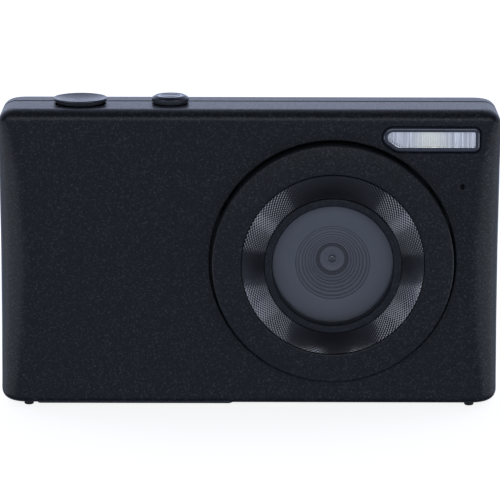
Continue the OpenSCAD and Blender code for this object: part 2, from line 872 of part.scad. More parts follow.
// Glass element with one domed side towards the front
module domed_element(y0, thickness) {
    bulge = thickness / 3;
    r = barrel_bore_r - fit_gap / 2;
    ball_r = (r * r + bulge * bulge) / (2 * bulge);
    turned_y(lens_at) intersection() {
        rect([0, r], [y0, y0 + thickness]);
        translate([0, y0 + ball_r]) circle(ball_r, $fn = fine);
    }
}

module front_lens() {
    color([0.5, 0.55, 0.65, 0.4]) domed_element(nose_y + fit_gap, element_t);
}

module aperture_ring() {
    y = nose_y + 2 * fit_gap + element_t;
    color([0.05, 0.05, 0.05]) difference() {
        rod_y(lens_at, y, y + aperture_t, barrel_bore_r - fit_gap / 2);
        rod_y(lens_at, y - slop, y + aperture_t + slop, aperture_r);
    }
}

module rear_lens() {
    color([0.5, 0.55, 0.65, 0.4]) domed_element(barrel_end_y - 2 * element_t, element_t);
}

module lens_holder() {
    front = barrel_y + 0.5;
    back = sensor_board_y - fit_gap / 2;
    color([0.1, 0.1, 0.11]) difference() {
        union() {
            rod_y(lens_at, front, back, holder_tube_r);
            slab_y(holder_y, back)
                plate(lens_at, holder_half);
        }
        rod_y(lens_at, front - slop, back - sensor_t - fit_gap, barrel_r + fit_gap / 2);
        slab_y(back - sensor_t - fit_gap, back + slop)
            plate(lens_at, sensor_half + fit_gap * [1, 1]);
        for (side = [-1, 1]) {
            rod_y(holder_screw_at(side), holder_y - slop, back + slop, pilot_r);
        }
    }
}

module ir_filter() {
    y = sensor_board_y - sensor_t - filter_t - 4 * fit_gap;
    color([0.6, 0.85, 0.8, 0.4]) slab_y(y, y + filter_t)
        plate(lens_at, filter_half);
}

module image_sensor() {
    color([0.25, 0.3, 0.28]) slab_y(sensor_board_y - sensor_t, sensor_board_y)
        plate(lens_at, sensor_half);
}

module sensor_board() {
    color("darkgreen") difference() {
        slab_y(sensor_board_y, sensor_board_y + sensor_board_t)
            plate(lens_at, sensor_board_half);
        for (side = [-1, 1]) {
            rod_y(holder_screw_at(side), sensor_board_y - slop, sensor_board_y + sensor_board_t + slop,
                  pilot_r);
        }
    }
}

// ---------------------------------------------------------------- flash

// Outline of the flash window, grown or shrunk by a margin; its lower left corner is cut off
module flash_outline(margin) {
    x = flash_x + margin * [-1, 1];
    z = flash_z + margin * [-1, 1];
    difference() {
        round_rect(x, z, [for (r = flash_radii) max(r + margin, smallest_r)]);
        polygon([[x[0] - slop, z[0] - slop], [x[0] + flash_cut[0], z[0] - slop], [x[0] + flash_cut[0], z[0]],
                 [x[0], z[0] + flash_cut[1]], [x[0] - slop, z[0] + flash_cut[1]]]);
    }
}

module flash_window() {
    y = front_y - flash_proud;
    ribs = floor((flash_w - flash_cut[0] - flash_rib_margin) / flash_rib_step);
    color([0.85, 0.88, 0.95, 0.5]) {
        slab_y(y, y + flash_t) flash_outline(0);
        for (i = [0:ribs - 1]) {
            x = flash_x[1] - flash_rib_margin - i * flash_rib_step;
            block([x - flash_rib_w, y + flash_t, flash_z[0] + flash_rim + fit_gap],
                  [x, y + flash_t + flash_rib_h, flash_z[1] - flash_rim - fit_gap]);
        }
    }
}

module flash_reflector() {
    y = front_y - flash_proud + flash_t + fit_gap / 2;
    color("gainsboro") difference() {
        slab_y(y, y + reflector_depth) flash_outline(-flash_rim + reflector_t);
        slab_y(y - slop, y + reflector_depth + slop) flash_outline(-flash_rim);
    }
}

module flash_led_board() {
    y = front_y - flash_proud + flash_t + reflector_depth + fit_gap;
    color("ivory") {
        slab_y(y, y + board_t) flash_outline(-reflector_t);
        block([led_x - led_size[0] / 2, y - led_size[1], (flash_z[0] + flash_z[1] - led_size[2]) / 2],
              [led_x + led_size[0] / 2, y, (flash_z[0] + flash_z[1] + led_size[2]) / 2]);
    }
}

// ---------------------------------------------------------------- top controls

// Flange and stem that every top button has under the top of the body
module button_stem(at, neck_r, cap_base_z) {
    flange_r = neck_r + 2 * flange_over;
    rod_z(at, stem_end_z, in_top_z - flange_gap - flange_t, stem_r);
    rod_z(at, in_top_z - flange_gap - flange_t, in_top_z - flange_gap, flange_r);
    rod_z(at, in_top_z - flange_gap, cap_base_z, neck_r);
}

module shutter_button() {
    cap_z = top_z + cap_clear;
    top = top_z + cap_h;
    dish_r = shutter_r - shutter_rim;
    ball_r = (dish_r * dish_r + shutter_dish * shutter_dish) / (2 * shutter_dish);
    color([0.25, 0.26, 0.3]) difference() {
        union() {
            button_stem(shutter_at, shutter_neck_r, cap_z);
            turned_z(shutter_at) polygon([
                [0, cap_z], [shutter_neck_r, cap_z], [shutter_r, top - hole_chamfer],
                [shutter_r - fit_gap, top], [0, top]
            ]);
        }
        translate([shutter_at[0], shutter_at[1], top - shutter_dish + ball_r]) sphere(ball_r, $fn = fine / 4);
    }
}

module power_button() {
    cap_z = top_z + cap_clear;
    top = top_z + power_cap_h;
    waist = [top_z + 0.9, top_z + 1.1];
    color([0.25, 0.26, 0.3]) difference() {
        union() {
            button_stem(power_at, power_neck_r, cap_z);
            turned_z(power_at) polygon([
                [0, cap_z], [power_neck_r, cap_z], [power_r, waist[0]], [power_r, waist[1]],
                [power_top_r, top], [0, top]
            ]);
        }
        turned_z(power_at) rect(light_ring_r, [top - light_ring_t, top + slop]);
    }
}

module power_light_ring() {
    top = top_z + power_cap_h;
    color("lightcyan") turned_z(power_at)
        rect(light_ring_r, [top - light_ring_t, top - fit_gap / 2]);
}

// Point on the spring's wire: along the coil, then around the wire
function coil_point(step, side, z0, rise) =
    let (turn = 360 * step / spring_turn_steps, tilt = 360 * side / spring_wire_sides,
         r = spring_coil_r + spring_wire_r * cos(tilt),
         z = z0 + rise * step / (spring_turns * spring_turn_steps) + spring_wire_r * sin(tilt))
    [shutter_at[0] + r * cos(turn), shutter_at[1] + r * sin(turn), z];

module shutter_spring() {
    margin = spring_wire_r + fit_gap / 2;
    z0 = bracket_z + bracket_t + margin;
    rise = in_top_z - flange_gap - flange_t - margin - z0;
    steps = spring_turns * spring_turn_steps;
    n = spring_wire_sides;
    points = [for (i = [0:steps], j = [0:n - 1]) coil_point(i, j, z0, rise)];
    sides = [for (i = [0:steps - 1], j = [0:n - 1])
        [i * n + j, i * n + (j + 1) % n, (i + 1) * n + (j + 1) % n, (i + 1) * n + j]];
    ends = [[for (j = [0:n - 1]) n - 1 - j], [for (j = [0:n - 1]) steps * n + j]];
    color("silver") polyhedron(points, concat(sides, ends));
}

// Plate with a guide tube around each button's flange, on posts over the top board
module button_bracket() {
    guides = [[shutter_at, shutter_neck_r], [power_at, power_neck_r]];
    color([0.2, 0.2, 0.22]) difference() {
        union() {
            block([bracket_x[0], bracket_y[0], bracket_z], [bracket_x[1], bracket_y[1], bracket_z + bracket_t]);
            for (guide = guides) {
                rod_z(guide[0], bracket_z, in_top_z - guide_drop,
                      guide[1] + 2 * flange_over + guide_gap + guide_wall);
            }
            for (x = post_x) {
                rod_z([x, post_y], top_board_z + board_t, bracket_z + fit_gap, post_r);
            }
        }
        for (guide = guides) {
            rod_z(guide[0], bracket_z + bracket_t, in_top_z + slop,
                  guide[1] + 2 * flange_over + guide_gap);
            rod_z(guide[0], bracket_z - slop, in_top_z, stem_r + guide_gap);
        }
    }
}

module tact_switches() {
    z = top_board_z + board_t;
    color("black") for (at = [shutter_at, power_at]) {
        block([at[0] - switch_half, at[1] - switch_half, z], [at[0] + switch_half, at[1] + switch_half, z + switch_h]);
        rod_z(at, z + switch_h, z + switch_h + switch_plunger_h, switch_plunger_r);
    }
}

module top_board() {
    color("darkgreen") block([bracket_x[0], top_board_y[0], top_board_z],
                             [bracket_x[1], top_board_y[1], top_board_z + board_t]);
}

// ---------------------------------------------------------------- boards and connectors

module main_board() {
    color("darkgreen") {
        slab_y(main_board_y, main_board_y + board_t) rect(main_board_x, main_board_z);
        block([shield_low[0], main_board_y - shield_h, base_z + shield_low[1]],
              [shield_low[0] + shield_size[0], main_board_y, base_z + shield_low[1] + shield_size[1]]);
        block([chip_low[0], main_board_y - chip_h, base_z + chip_low[1]],
              [chip_low[0] + chip_size[0], main_board_y, base_z + chip_low[1] + chip_size[1]]);
    }
}

module usb_port() {
    x = [body_w / 2 - fit_gap - usb_size[2], body_w / 2 - fit_gap];
    color("silver") {
        difference() {
            slab_x(x[0], x[1]) slot_outline(usb_at, usb_size[0], usb_size[1]);
            slab_x(x[0] + usb_shell, x[1] + slop)
                slot_outline(usb_at, usb_size[0] - 2 * usb_shell, usb_size[1] - 2 * usb_shell);
        }
        block([x[0], usb_at[0] - usb_tongue[0] / 2, usb_at[1] - usb_tongue[1] / 2],
              [x[0] + usb_tongue[2], usb_at[0] + usb_tongue[0] / 2, usb_at[1] + usb_tongue[1] / 2]);
    }
}

module key_board() {
    color("darkgreen") difference() {
        slab_y(key_board_y, key_board_y + board_t) rect(key_board_x, key_board_z);
        for (at = key_board_screws_at) {
            rod_y(at, key_board_y - slop, key_board_y + board_t + slop, pilot_r);
        }
    }
}

function on_pad(angle, r) = pad_at + r * [cos(angle), -sin(angle)];

module key_domes() {
    round_keys = [mode_at, menu_at, playback_at, delete_at, pad_at];
    arrows = [for (arrow = arrow_angles) on_pad(arrow[1], pad_plunger_r)];
    zoom = [for (side = [-1, 1]) zoom_at + [side * zoom_plunger_x, 0]];
    color("silver") for (at = concat(round_keys, arrows, zoom)) {
        translate([at[0], key_board_y + board_t, at[1]]) rotate([-90, 0, 0])
            cylinder(r1 = dome_r[0], r2 = dome_r[1], h = dome_h);
    }
}

// ---------------------------------------------------------------- rear keys

module round_key(at) {
    color([0.2, 0.21, 0.24]) turned_y(at) polygon([
        [0, plunger_y], [plunger_r, plunger_y], [plunger_r, key_back_y], [key_flange_r, key_back_y],
        [key_flange_r, key_back_y + key_flange_t], [key_r, key_back_y + key_flange_t],
        [key_r, key_y - key_bevel], [key_r - key_bevel, key_y], [0, key_y]
    ]);
}

module mode_key() {
    round_key(mode_at);
}

module menu_key() {
    round_key(menu_at);
}

module playback_key() {
    round_key(playback_at);
}

module delete_key() {
    round_key(delete_at);
}

// A quarter of the direction pad, with a flange behind the edge of its opening
module arrow_key(name) {
    angle = arrow_angles[search([name], arrow_angles)[0]][1];
    back = key_back_y + fit_gap;
    flange_y = key_back_y + key_flange_t;
    color([0.2, 0.21, 0.24]) {
        translate([pad_at[0], 0, pad_at[1]]) rotate([-90, 0, 0]) rotate([0, 0, angle - pad_span / 2])
            rotate_extrude(angle = pad_span) polygon([
                [pad_inner_r, back], [pad_r + pad_flange, back], [pad_r + pad_flange, flange_y],
                [pad_r, flange_y], [pad_r, key_y - key_bevel], [pad_r - key_bevel, key_y],
                [pad_inner_r + key_bevel, key_y], [pad_inner_r, key_y - key_bevel]
            ]);
        rod_y(on_pad(angle, pad_plunger_r), plunger_y, back + fit_gap, plunger_r);
    }
}

module up_key() {
    arrow_key("up_key");
}

module down_key() {
    arrow_key("down_key");
}

module left_key() {
    arrow_key("left_key");
}

module right_key() {
    arrow_key("right_key");
}

module ok_key() {
    skirt_y = ok_skirt_y + ok_skirt[1];
    color([0.2, 0.21, 0.24]) turned_y(pad_at) polygon([
        [0, plunger_y], [plunger_r, plunger_y], [plunger_r, ok_skirt_y], [ok_skirt[0], ok_skirt_y],
        [ok_skirt[0], skirt_y], [ok_r, skirt_y], [ok_r, key_y - key_bevel], [ok_r - key_bevel, key_y],
        [0, key_y]
    ]);
}

// Outline of the zoom rocker on X and Z
module zoom_outline(margin) {
    half = zoom_half + margin * [1, 1];
    plate(zoom_at, [half[0] - half[1], half[1]]);
    for (side = [-1, 1]) {
        translate(zoom_at + [side * (half[0] - half[1]), 0]) circle(half[1]);
    }
}

module zoom_rocker() {
    chord = zoom_half[0] - 1;
    dish_r = (chord * chord + zoom_dish * zoom_dish) / (2 * zoom_dish);
    wing_top_y = zoom_wing_y + zoom_wing[2];
    color([0.2, 0.21, 0.24]) difference() {
        union() {
            slab_y(zoom_wing_y, key_y) zoom_outline(0);
            block([zoom_at[0] - zoom_wing[0], zoom_wing_y, zoom_at[1] - zoom_wing[1]],
                  [zoom_at[0] + zoom_wing[0], wing_top_y, zoom_at[1] + zoom_wing[1]]);
            rod_z([zoom_at[0], zoom_pivot_y], zoom_at[1] - zoom_pivot_z[1], zoom_at[1] + zoom_pivot_z[1],
                  zoom_pivot_r);
            for (side = [-1, 1]) {
                rod_y(zoom_at + [side * zoom_plunger_x, 0], plunger_y + key_gap, zoom_wing_y + fit_gap,
                      plunger_r);
            }
        }
        rod_z([zoom_at[0], key_y - zoom_dish + dish_r], zoom_at[1] - zoom_half[0],
              zoom_at[1] + zoom_half[0], dish_r, $fn = fine);
    }
}

module status_light_pipe() {
    color("palegreen") rod_y(pipe_at, key_board_y + board_t + key_gap, rear_y, pipe_r);
}

// ---------------------------------------------------------------- display

module display_outline(margin, r) {
    half = [display_w / 2 + margin, display_h / 2 + margin];
    round_rect([display_at[0] - half[0], display_at[0] + half[0]],
               [display_at[1] - half[1], display_at[1] + half[1]], [r, r, r, r]);
}

module lcd_window() {
    color([0.03, 0.03, 0.04]) slab_y(rear_y - glass_t - glass_sink, rear_y - glass_sink)
        display_outline(glass_over, glass_corner_r);
}

module lcd_panel() {
    half = [display_w / 2 + panel_over[0], display_h / 2 + panel_over[1]];
    y = tray_y + tray_t;
    color([0.1, 0.12, 0.16]) slab_y(y, y + panel_t)
        plate(display_at, half);
}

// Shallow metal tray that holds the light guide behind the panel
module lcd_backlight() {
    half = [display_w / 2 + tray_over[0], display_h / 2 + tray_over[1]];
    inner = half - tray_rim * [1, 1];
    color("gainsboro") difference() {
        slab_y(tray_y, tray_y + tray_t)
            plate(display_at, half);
        slab_y(tray_y + tray_floor, tray_y + tray_t + slop)
            plate(display_at, inner);
    }
}

// ---------------------------------------------------------------- battery, card and door

battery_low = [battery_x - battery_w, battery_y, battery_z];
battery_high = [battery_x, battery_y + battery_t, battery_z + battery_h];
box_inner_low = battery_low - box_play * [1, 1, 0];
box_inner_high = battery_high + [box_play, box_play, contact_size[2]];

module battery() {
    color([0.25, 0.27, 0.3]) block(battery_low, battery_high);
}

module battery_box() {
    low = [box_inner_low[0] - box_wall, box_inner_low[1] - box_wall, box_low_z];
    high = box_inner_high + [box_wall, box_wall, box_roof];
    color([0.2, 0.2, 0.22]) difference() {
        union() {
            block(low, high);
            for (x = post_x) {
                rod_z([x, post_y], high[2] - fit_gap, top_board_z, post_r);
            }
            hinge_bar(low[0]);
        }
        block([box_inner_low[0], box_inner_low[1], box_low_z - slop], box_inner_high);
        block([battery_x, latch_y[0] - latch_play, box_low_z - slop],
              [high[0] + slop, latch_y[1] + latch_play, latch_top_z + latch_play]);
        rod_y(hinge_at, pin_y[0] - slop, pin_y[1] + slop, hinge_bore_r);
    }
}

// Bar beside the box that carries a hinge lug at each end
module hinge_bar(box_x) {
    block([hinge_at[0], hinge_lugs_y[0][0], lug_bar_z[0]], [box_x + fit_gap, hinge_lugs_y[1][1], lug_bar_z[1]]);
    for (y = hinge_lugs_y) {
        rod_y(hinge_at, y[0], y[1], knuckle_r);
        block([hinge_at[0], y[0], hinge_at[1]], [hinge_at[0] + knuckle_r, y[1], lug_bar_z[0] + fit_gap]);
    }
}

module battery_contacts() {
    z = battery_high[2];
    color("gold") for (x = contact_x) {
        block([battery_low[0] + x, battery_y + 1, z],
              [battery_low[0] + x + contact_size[0], battery_y + 1 + contact_size[1], z + contact_size[2]]);
    }
}

// Springy hook that keeps the battery in until it is pushed aside
module battery_latch() {
    x = battery_x + box_play + fit_gap / 2;
    color("darkorange") {
        block([x, latch_y[0], latch_hook_z[0]], [x + latch_t, latch_y[1], latch_top_z]);
        block([battery_x - latch_hook, latch_y[0], latch_hook_z[0]], [x + fit_gap, latch_y[1], latch_hook_z[1]]);
    }
}

module memory_card() {
    color([0.1, 0.2, 0.45]) slab_y(card_y, card_y + card_t) difference() {
        rect(card_x, card_z);
        polygon([[card_x[1] + slop, card_z[1] + slop], [card_x[1] - card_corner - slop, card_z[1] + slop],
                 [card_x[1] + slop, card_z[1] - card_corner - slop]]);
    }
}

module card_socket() {
    inner_x = card_x + socket_play * [-1, 1];
    inner_y = [card_y - socket_play, card_y + card_t + socket_play];
    color("silver") difference() {
        block([inner_x[0] - socket_wall, inner_y[0] - socket_wall, socket_z[0]],
              [inner_x[1] + socket_wall, inner_y[1] + socket_wall, socket_z[1]]);
        block([inner_x[0], inner_y[0], socket_z[0] - slop], [inner_x[1], inner_y[1], socket_z[1] - socket_wall]);
    }
}

// Outline of the door's outer plate on X and Z; its free end slants up to the body
module door_plate_outline() {
    z = [base_z - door_proud, base_z - door_under];
    polygon([
        [door_x[0] + door_bevel, z[0]], [door_x[1] - door_end_slant, z[0]], [door_x[1], z[1] - fit_gap / 2],
        [door_x[1], z[1]], [door_x[0], z[1]], [door_x[0], z[0] + door_bevel]
    ]);
}

module battery_door() {
    rail_z = hinge_plate_z[1] + rail_gap;
    color([0.12, 0.13, 0.15]) {
        slab_y(door_y[0], door_y[1]) door_plate_outline();
        block([lid_x[0], lid_y[0], base_z - door_under], [lid_x[1], lid_y[1], lid_top_z]);
        for (rail = [[knuckle_y[0] - rail_gap, -1], [knuckle_y[1] + rail_gap, 1]]) {
            foot = [rail[0], rail[0] + rail[1] * rail_t];
            lip = [rail[0] + rail[1] * rail_t, rail[0] - rail[1] * rail_lip];
            block([rail_x[0], min(foot), lid_top_z], [rail_x[1], max(foot), rail_z + rail_t]);
            block([rail_x[0], min(lip), rail_z], [rail_x[1], max(lip), rail_z + rail_t]);
        }
    }
}

module door_hinge_plate() {
    color("silver") difference() {
        union() {
            block([hinge_at[0], knuckle_y[0], hinge_plate_z[0]], [hinge_plate_x, knuckle_y[1], hinge_plate_z[1]]);
            rod_y(hinge_at, knuckle_y[0], knuckle_y[1], knuckle_r);
        }
        rod_y(hinge_at, pin_y[0], pin_y[1], hinge_bore_r);
    }
}

module door_hinge_pin() {
    color("dimgray") rod_y(hinge_at, pin_y[0], pin_y[1], hinge_pin_r);
}

// ---------------------------------------------------------------- the pieces

front_cover();
rear_cover();
chassis();
case_screws();
inner_screws();
rubber_feet();
strap_pin();
tripod_nut();
lens_bezel();
lens_trim_ring();
lens_lip_ring();
lens_window();
lens_baffle();
lens_barrel();
front_lens();
aperture_ring();
rear_lens();
lens_holder();
ir_filter();
image_sensor();
sensor_board();
flash_window();
flash_reflector();
flash_led_board();
microphone();
speaker();
shutter_button();
shutter_spring();
power_button();
power_light_ring();
button_bracket();
tact_switches();
top_board();
main_board();
usb_port();
key_board();
key_domes();
zoom_rocker();
mode_key();
menu_key();
playback_key();
delete_key();
up_key();
down_key();
left_key();
right_key();
ok_key();
lcd_window();
lcd_panel();
lcd_backlight();
battery();
battery_box();
battery_contacts();
battery_latch();
battery_door();
door_hinge_plate();
door_hinge_pin();
memory_card();
card_socket();
status_light_pipe();
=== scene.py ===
"""Looks of a compact digital camera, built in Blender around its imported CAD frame.

Shapes are worked out in millimetres and scaled to metres when they become meshes.
"""

import math

import bmesh
import bpy
from mathutils import Matrix, Quaternion, Vector
from mathutils.bvhtree import BVHTree


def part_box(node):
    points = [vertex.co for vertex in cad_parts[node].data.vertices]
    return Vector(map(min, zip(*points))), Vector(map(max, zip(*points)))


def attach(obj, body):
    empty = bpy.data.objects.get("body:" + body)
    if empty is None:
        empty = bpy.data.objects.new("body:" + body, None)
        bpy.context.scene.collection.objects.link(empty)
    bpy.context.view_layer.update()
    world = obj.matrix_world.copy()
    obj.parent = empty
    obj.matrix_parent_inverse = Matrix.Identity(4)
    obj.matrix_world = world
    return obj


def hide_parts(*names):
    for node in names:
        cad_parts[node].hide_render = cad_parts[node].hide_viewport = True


MM = 0.001
TAU = 2 * math.pi

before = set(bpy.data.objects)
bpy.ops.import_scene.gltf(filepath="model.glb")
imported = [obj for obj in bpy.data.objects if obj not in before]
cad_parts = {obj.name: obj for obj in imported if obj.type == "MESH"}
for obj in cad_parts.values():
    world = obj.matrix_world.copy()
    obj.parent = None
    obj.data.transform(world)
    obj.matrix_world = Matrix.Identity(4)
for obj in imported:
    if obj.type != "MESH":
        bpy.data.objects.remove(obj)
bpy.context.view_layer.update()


# ---- places read from the frame


def box_mm(node):
    """Lowest and highest corner of a CAD node, in millimetres."""
    low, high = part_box(node)
    return [v / MM for v in low], [v / MM for v in high]


def middle(node):
    low, high = box_mm(node)
    return [(a + b) / 2 for a, b in zip(low, high)]


def half_size(node):
    low, high = box_mm(node)
    return [(b - a) / 2 for a, b in zip(low, high)]


def across(node):
    """Middle of a CAD node on X and Z, as seen from the front."""
    centre = middle(node)
    return centre[0], centre[2]


cover_low, cover_high = box_mm("front_cover")
COVER_GAP = 0.05
FRONT_Y, SEAM_Y = cover_low[1], cover_high[1] + COVER_GAP
BASE_Z, TOP_Z = cover_low[2], cover_high[2]
HALF_W = cover_high[0]
LENS = across("lens_bezel")
LENS_FRONT_Y = box_mm("lens_lip_ring")[0][1]
KEY_Y = box_mm("ok_key")[1][1]
REAR_Y = box_mm("status_light_pipe")[1][1]
SHUTTER = middle("shutter_button")[:2]
POWER = middle("power_button")[:2]
ZOOM_HALF = (7.5, 2.3)


# ---- mesh building


def place(axis, p, q, h):
    """Point whose height h runs along the axis; p and q run along the other two."""
    return {"X": (h, p, q), "Y": (p, h, q), "Z": (p, q, h)}[axis]


def lathe(centre, axis, profile, steps=128):
    """Solid of revolution: profile is a closed outline of (radius, height)."""
    verts, rings, faces = [], [], []
    for r, h in profile:
        if r < 1e-6:
            rings.append([len(verts)])
            verts.append(place(axis, centre[0], centre[1], h))
            continue
        rings.append(list(range(len(verts), len(verts) + steps)))
        for k in range(steps):
            a = TAU * k / steps
            verts.append(place(axis, centre[0] + r * math.cos(a), centre[1] + r * math.sin(a), h))
    for i, ring in enumerate(rings):
        other = rings[(i + 1) % len(rings)]
        if len(ring) == 1 and len(other) == 1:
            continue
        for k in range(steps):
            n = (k + 1) % steps
            if len(ring) == 1:
                faces.append((ring[0], other[n], other[k]))
            elif len(other) == 1:
                faces.append((ring[k], ring[n], other[0]))
            else:
                faces.append((ring[k], ring[n], other[n], other[k]))
    return verts, faces


def loft(axis, sections):
    """Solid through outlines that have the same number of points: sections are (outline, height)."""
    verts, faces = [], []
    n = len(sections[0][0])
    for outline, h in sections:
        verts += [place(axis, p, q, h) for p, q in outline]
    for i in range(len(sections) - 1):
        for k in range(n):
            m = (k + 1) % n
            faces.append((i * n + k, i * n + m, (i + 1) * n + m, (i + 1) * n + k))
    faces.append(tuple(range(n)))
    faces.append(tuple(range((len(sections) - 1) * n, len(sections) * n)))
    return verts, faces


def brick(low, high):
    outline = [(low[0], low[1]), (high[0], low[1]), (high[0], high[1]), (low[0], high[1])]
    return loft("Z", [(outline, low[2]), (outline, high[2])])


def joined(*parts):
    verts, faces = [], []
    for v, f in parts:
        start = len(verts)
        verts += v
        faces += [tuple(i + start for i in face) for face in f]
    return verts, faces


def arc(cx, cy, r, a0, a1, steps):
    """Points on an arc, angles in degrees."""
    return [
        (cx + r * math.cos(math.radians(a0 + (a1 - a0) * i / steps)),
         cy + r * math.sin(math.radians(a0 + (a1 - a0) * i / steps)))
        for i in range(steps + 1)
    ]


def round_rect(x, y, radii, steps=8):
    """Rectangle outline with a radius at each corner, from the lower left one anticlockwise."""
    a, b, c, d = radii
    return (
        arc(x[0] + a, y[0] + a, a, 180, 270, steps)
        + arc(x[1] - b, y[0] + b, b, 270, 360, steps)
        + arc(x[1] - c, y[1] - c, c, 0, 90, steps)
        + arc(x[0] + d, y[1] - d, d, 90, 180, steps)
    )


def inset(outline, distance):
    """Outline drawn in by a distance, for a convex outline that runs anticlockwise."""
    points = []
    for p in outline:
        if not points or math.dist(points[-1], p) > 1e-4:
            points.append(p)
    if math.dist(points[0], points[-1]) < 1e-4:
        points.pop()
    out = []
    for i, here in enumerate(points):
        before, after = points[i - 1], points[(i + 1) % len(points)]
        a = (Vector(here) - Vector(before)).normalized()
        b = (Vector(after) - Vector(here)).normalized()
        side = Vector((-(a.y + b.y), a.x + b.x)).normalized()
        out.append(tuple(Vector(here) + side * distance / max(0.3, side.dot(Vector((-a.y, a.x))))))
    return out


def capsule(centre, half, margin=0.0, steps=16):
    """Slot outline: half is half its size on each axis, before the margin is added."""
    hx, hy = half[0] + margin, half[1] + margin
    r = min(hx, hy)
    return round_rect(
        (centre[0] - hx, centre[0] + hx), (centre[1] - hy, centre[1] + hy), [r * 0.9999] * 4, steps
    )


def soften(points, radius, steps=3):
    """Rounds the corners of a closed profile. Points on the turning axis stay sharp."""
    out = []
    n = len(points)
    for i, here in enumerate(points):
        before, after = points[i - 1], points[(i + 1) % n]
        if here[0] < 1e-6:
            out.append(here)
            continue
        h, b, a = Vector(here), Vector(before), Vector(after)
        reach = min(radius, (b - h).length * 0.45, (a - h).length * 0.45)
        p, q = h + (b - h).normalized() * reach, h + (a - h).normalized() * reach
        for k in range(steps + 1):
            t = k / steps
            out.append(tuple(p * (1 - t) ** 2 + h * 2 * t * (1 - t) + q * t * t))
    return out


def raw_object(name, part):
    """Mesh object in millimetres, with its faces turned outwards."""
    mesh = bpy.data.meshes.new(name)
    mesh.from_pydata(part[0], [], part[1])
    made = bmesh.new()
    made.from_mesh(mesh)
    bmesh.ops.remove_doubles(made, verts=made.verts, dist=1e-5)
    bmesh.ops.recalc_face_normals(made, faces=made.faces)
    made.to_mesh(mesh)
    made.free()
    obj = bpy.data.objects.new(name, mesh)
    bpy.context.scene.collection.objects.link(obj)
    return obj


def apply_modifiers(obj):
    shaped = bpy.data.meshes.new_from_object(obj.evaluated_get(bpy.context.evaluated_depsgraph_get()))
    obj.modifiers.clear()
    obj.data = shaped


def carve(obj, part, operation="DIFFERENCE"):
    """Cuts a closed solid out of obj, or keeps only what lies inside it."""
    tool = raw_object("cutter", part)
    cut = obj.modifiers.new("cut", "BOOLEAN")
    cut.solver = "EXACT"
    cut.operation = operation
    cut.object = tool
    apply_modifiers(obj)
    bpy.data.objects.remove(tool)


def settle(obj, material, body="camera", stands_for=(), slot=None, crease=32):
    """Scales a finished piece to metres, gives it its material and puts it on its body."""
    mesh = obj.data
    mesh.transform(Matrix.Scale(MM, 4))
    mesh.materials.clear()
    for m in material if isinstance(material, (list, tuple)) else [material]:
        mesh.materials.append(m)
    mesh.shade_smooth()
    mesh.set_sharp_from_angle(angle=math.radians(crease))
    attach(obj, body)
    if stands_for:
        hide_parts(*stands_for)
    return obj


def piece(name, part, material, **facts):
    return settle(raw_object(name, part), material, **facts)


# ---- materials


class Nodes:
    """Short ways to build a material's node tree."""

    def __init__(self, name):
        self.material = bpy.data.materials.new(name)
        self.material.use_nodes = True
        self.tree = self.material.node_tree
        self.shader = self.tree.nodes["Principled BSDF"]
        self.coords = self.tree.nodes.new("ShaderNodeTexCoord").outputs["Object"]

    def add(self, kind, **inputs):
        node = self.tree.nodes.new(kind)
        for key, value in inputs.items():
            self.put(node.inputs[key.replace("_", " ")], value)
        return node

    def put(self, socket, value):
        if isinstance(value, bpy.types.NodeSocket):
            self.tree.links.new(value, socket)
        else:
            socket.default_value = value

    def set(self, **inputs):
        for key, value in inputs.items():
            self.put(self.shader.inputs[key.replace("_", " ")], value)
        return self

    def noise(self, scale, detail=3.0, rough=0.5):
        node = self.add("ShaderNodeTexNoise", Vector=self.coords, Scale=scale, Detail=detail, Roughness=rough)
        return node.outputs["Fac"]

    def cells(self, scale, output="Color"):
        return self.add("ShaderNodeTexVoronoi", Vector=self.coords, Scale=scale).outputs[output]

    def math(self, operation, a, b=0.0, clamp=False):
        node = self.tree.nodes.new("ShaderNodeMath")
        node.operation = operation
        node.use_clamp = clamp
        self.put(node.inputs[0], a)
        self.put(node.inputs[1], b)
        return node.outputs[0]

    def blend(self, factor, a, b):
        node = self.tree.nodes.new("ShaderNodeMix")
        node.data_type = "RGBA"
        self.put(node.inputs["Factor"], factor)
        self.put(node.inputs["A"], (*a, 1) if isinstance(a, tuple) else a)
        self.put(node.inputs["B"], (*b, 1) if isinstance(b, tuple) else b)
        return node.outputs["Result"]

    def span(self, value, low, high, start=0.0, end=1.0):
        """Maps start..end onto low..high."""
        limits = {"From_Min": start, "From_Max": end, "To_Min": low, "To_Max": high}
        return self.add("ShaderNodeMapRange", Value=value, **limits).outputs["Result"]

    def streaks(self, scale, detail):
        """Noise drawn out along an axis: scale is its fineness on X, Y and Z."""
        stretched = self.add("ShaderNodeMapping", Vector=self.coords, Scale=scale).outputs[0]
        return self.add("ShaderNodeTexNoise", Vector=stretched, Scale=1.0, Detail=detail).outputs["Fac"]

    def vector(self, operation, *values):
        node = self.tree.nodes.new("ShaderNodeVectorMath")
        node.operation = operation
        for socket, value in zip(node.inputs, values):
            self.put(socket, value)
        return node

    def bump(self, height, distance, strength=1.0):
        node = self.add("ShaderNodeBump", Height=height, Distance=distance, Strength=strength)
        return node.outputs["Normal"]

    def flakes(self, cell, amount):
        """Normals that lean a little differently in each small cell."""
        leans = self.vector("SUBTRACT", self.cells(cell), (0.5, 0.5, 0.5)).outputs[0]
        scaled = self.vector("SCALE", leans)
        scaled.inputs["Scale"].default_value = amount
        normal = self.tree.nodes.new("ShaderNodeNewGeometry").outputs["Normal"]
        summed = self.vector("ADD", normal, scaled.outputs[0]).outputs[0]
        return self.vector("NORMALIZE", summed).outputs[0]


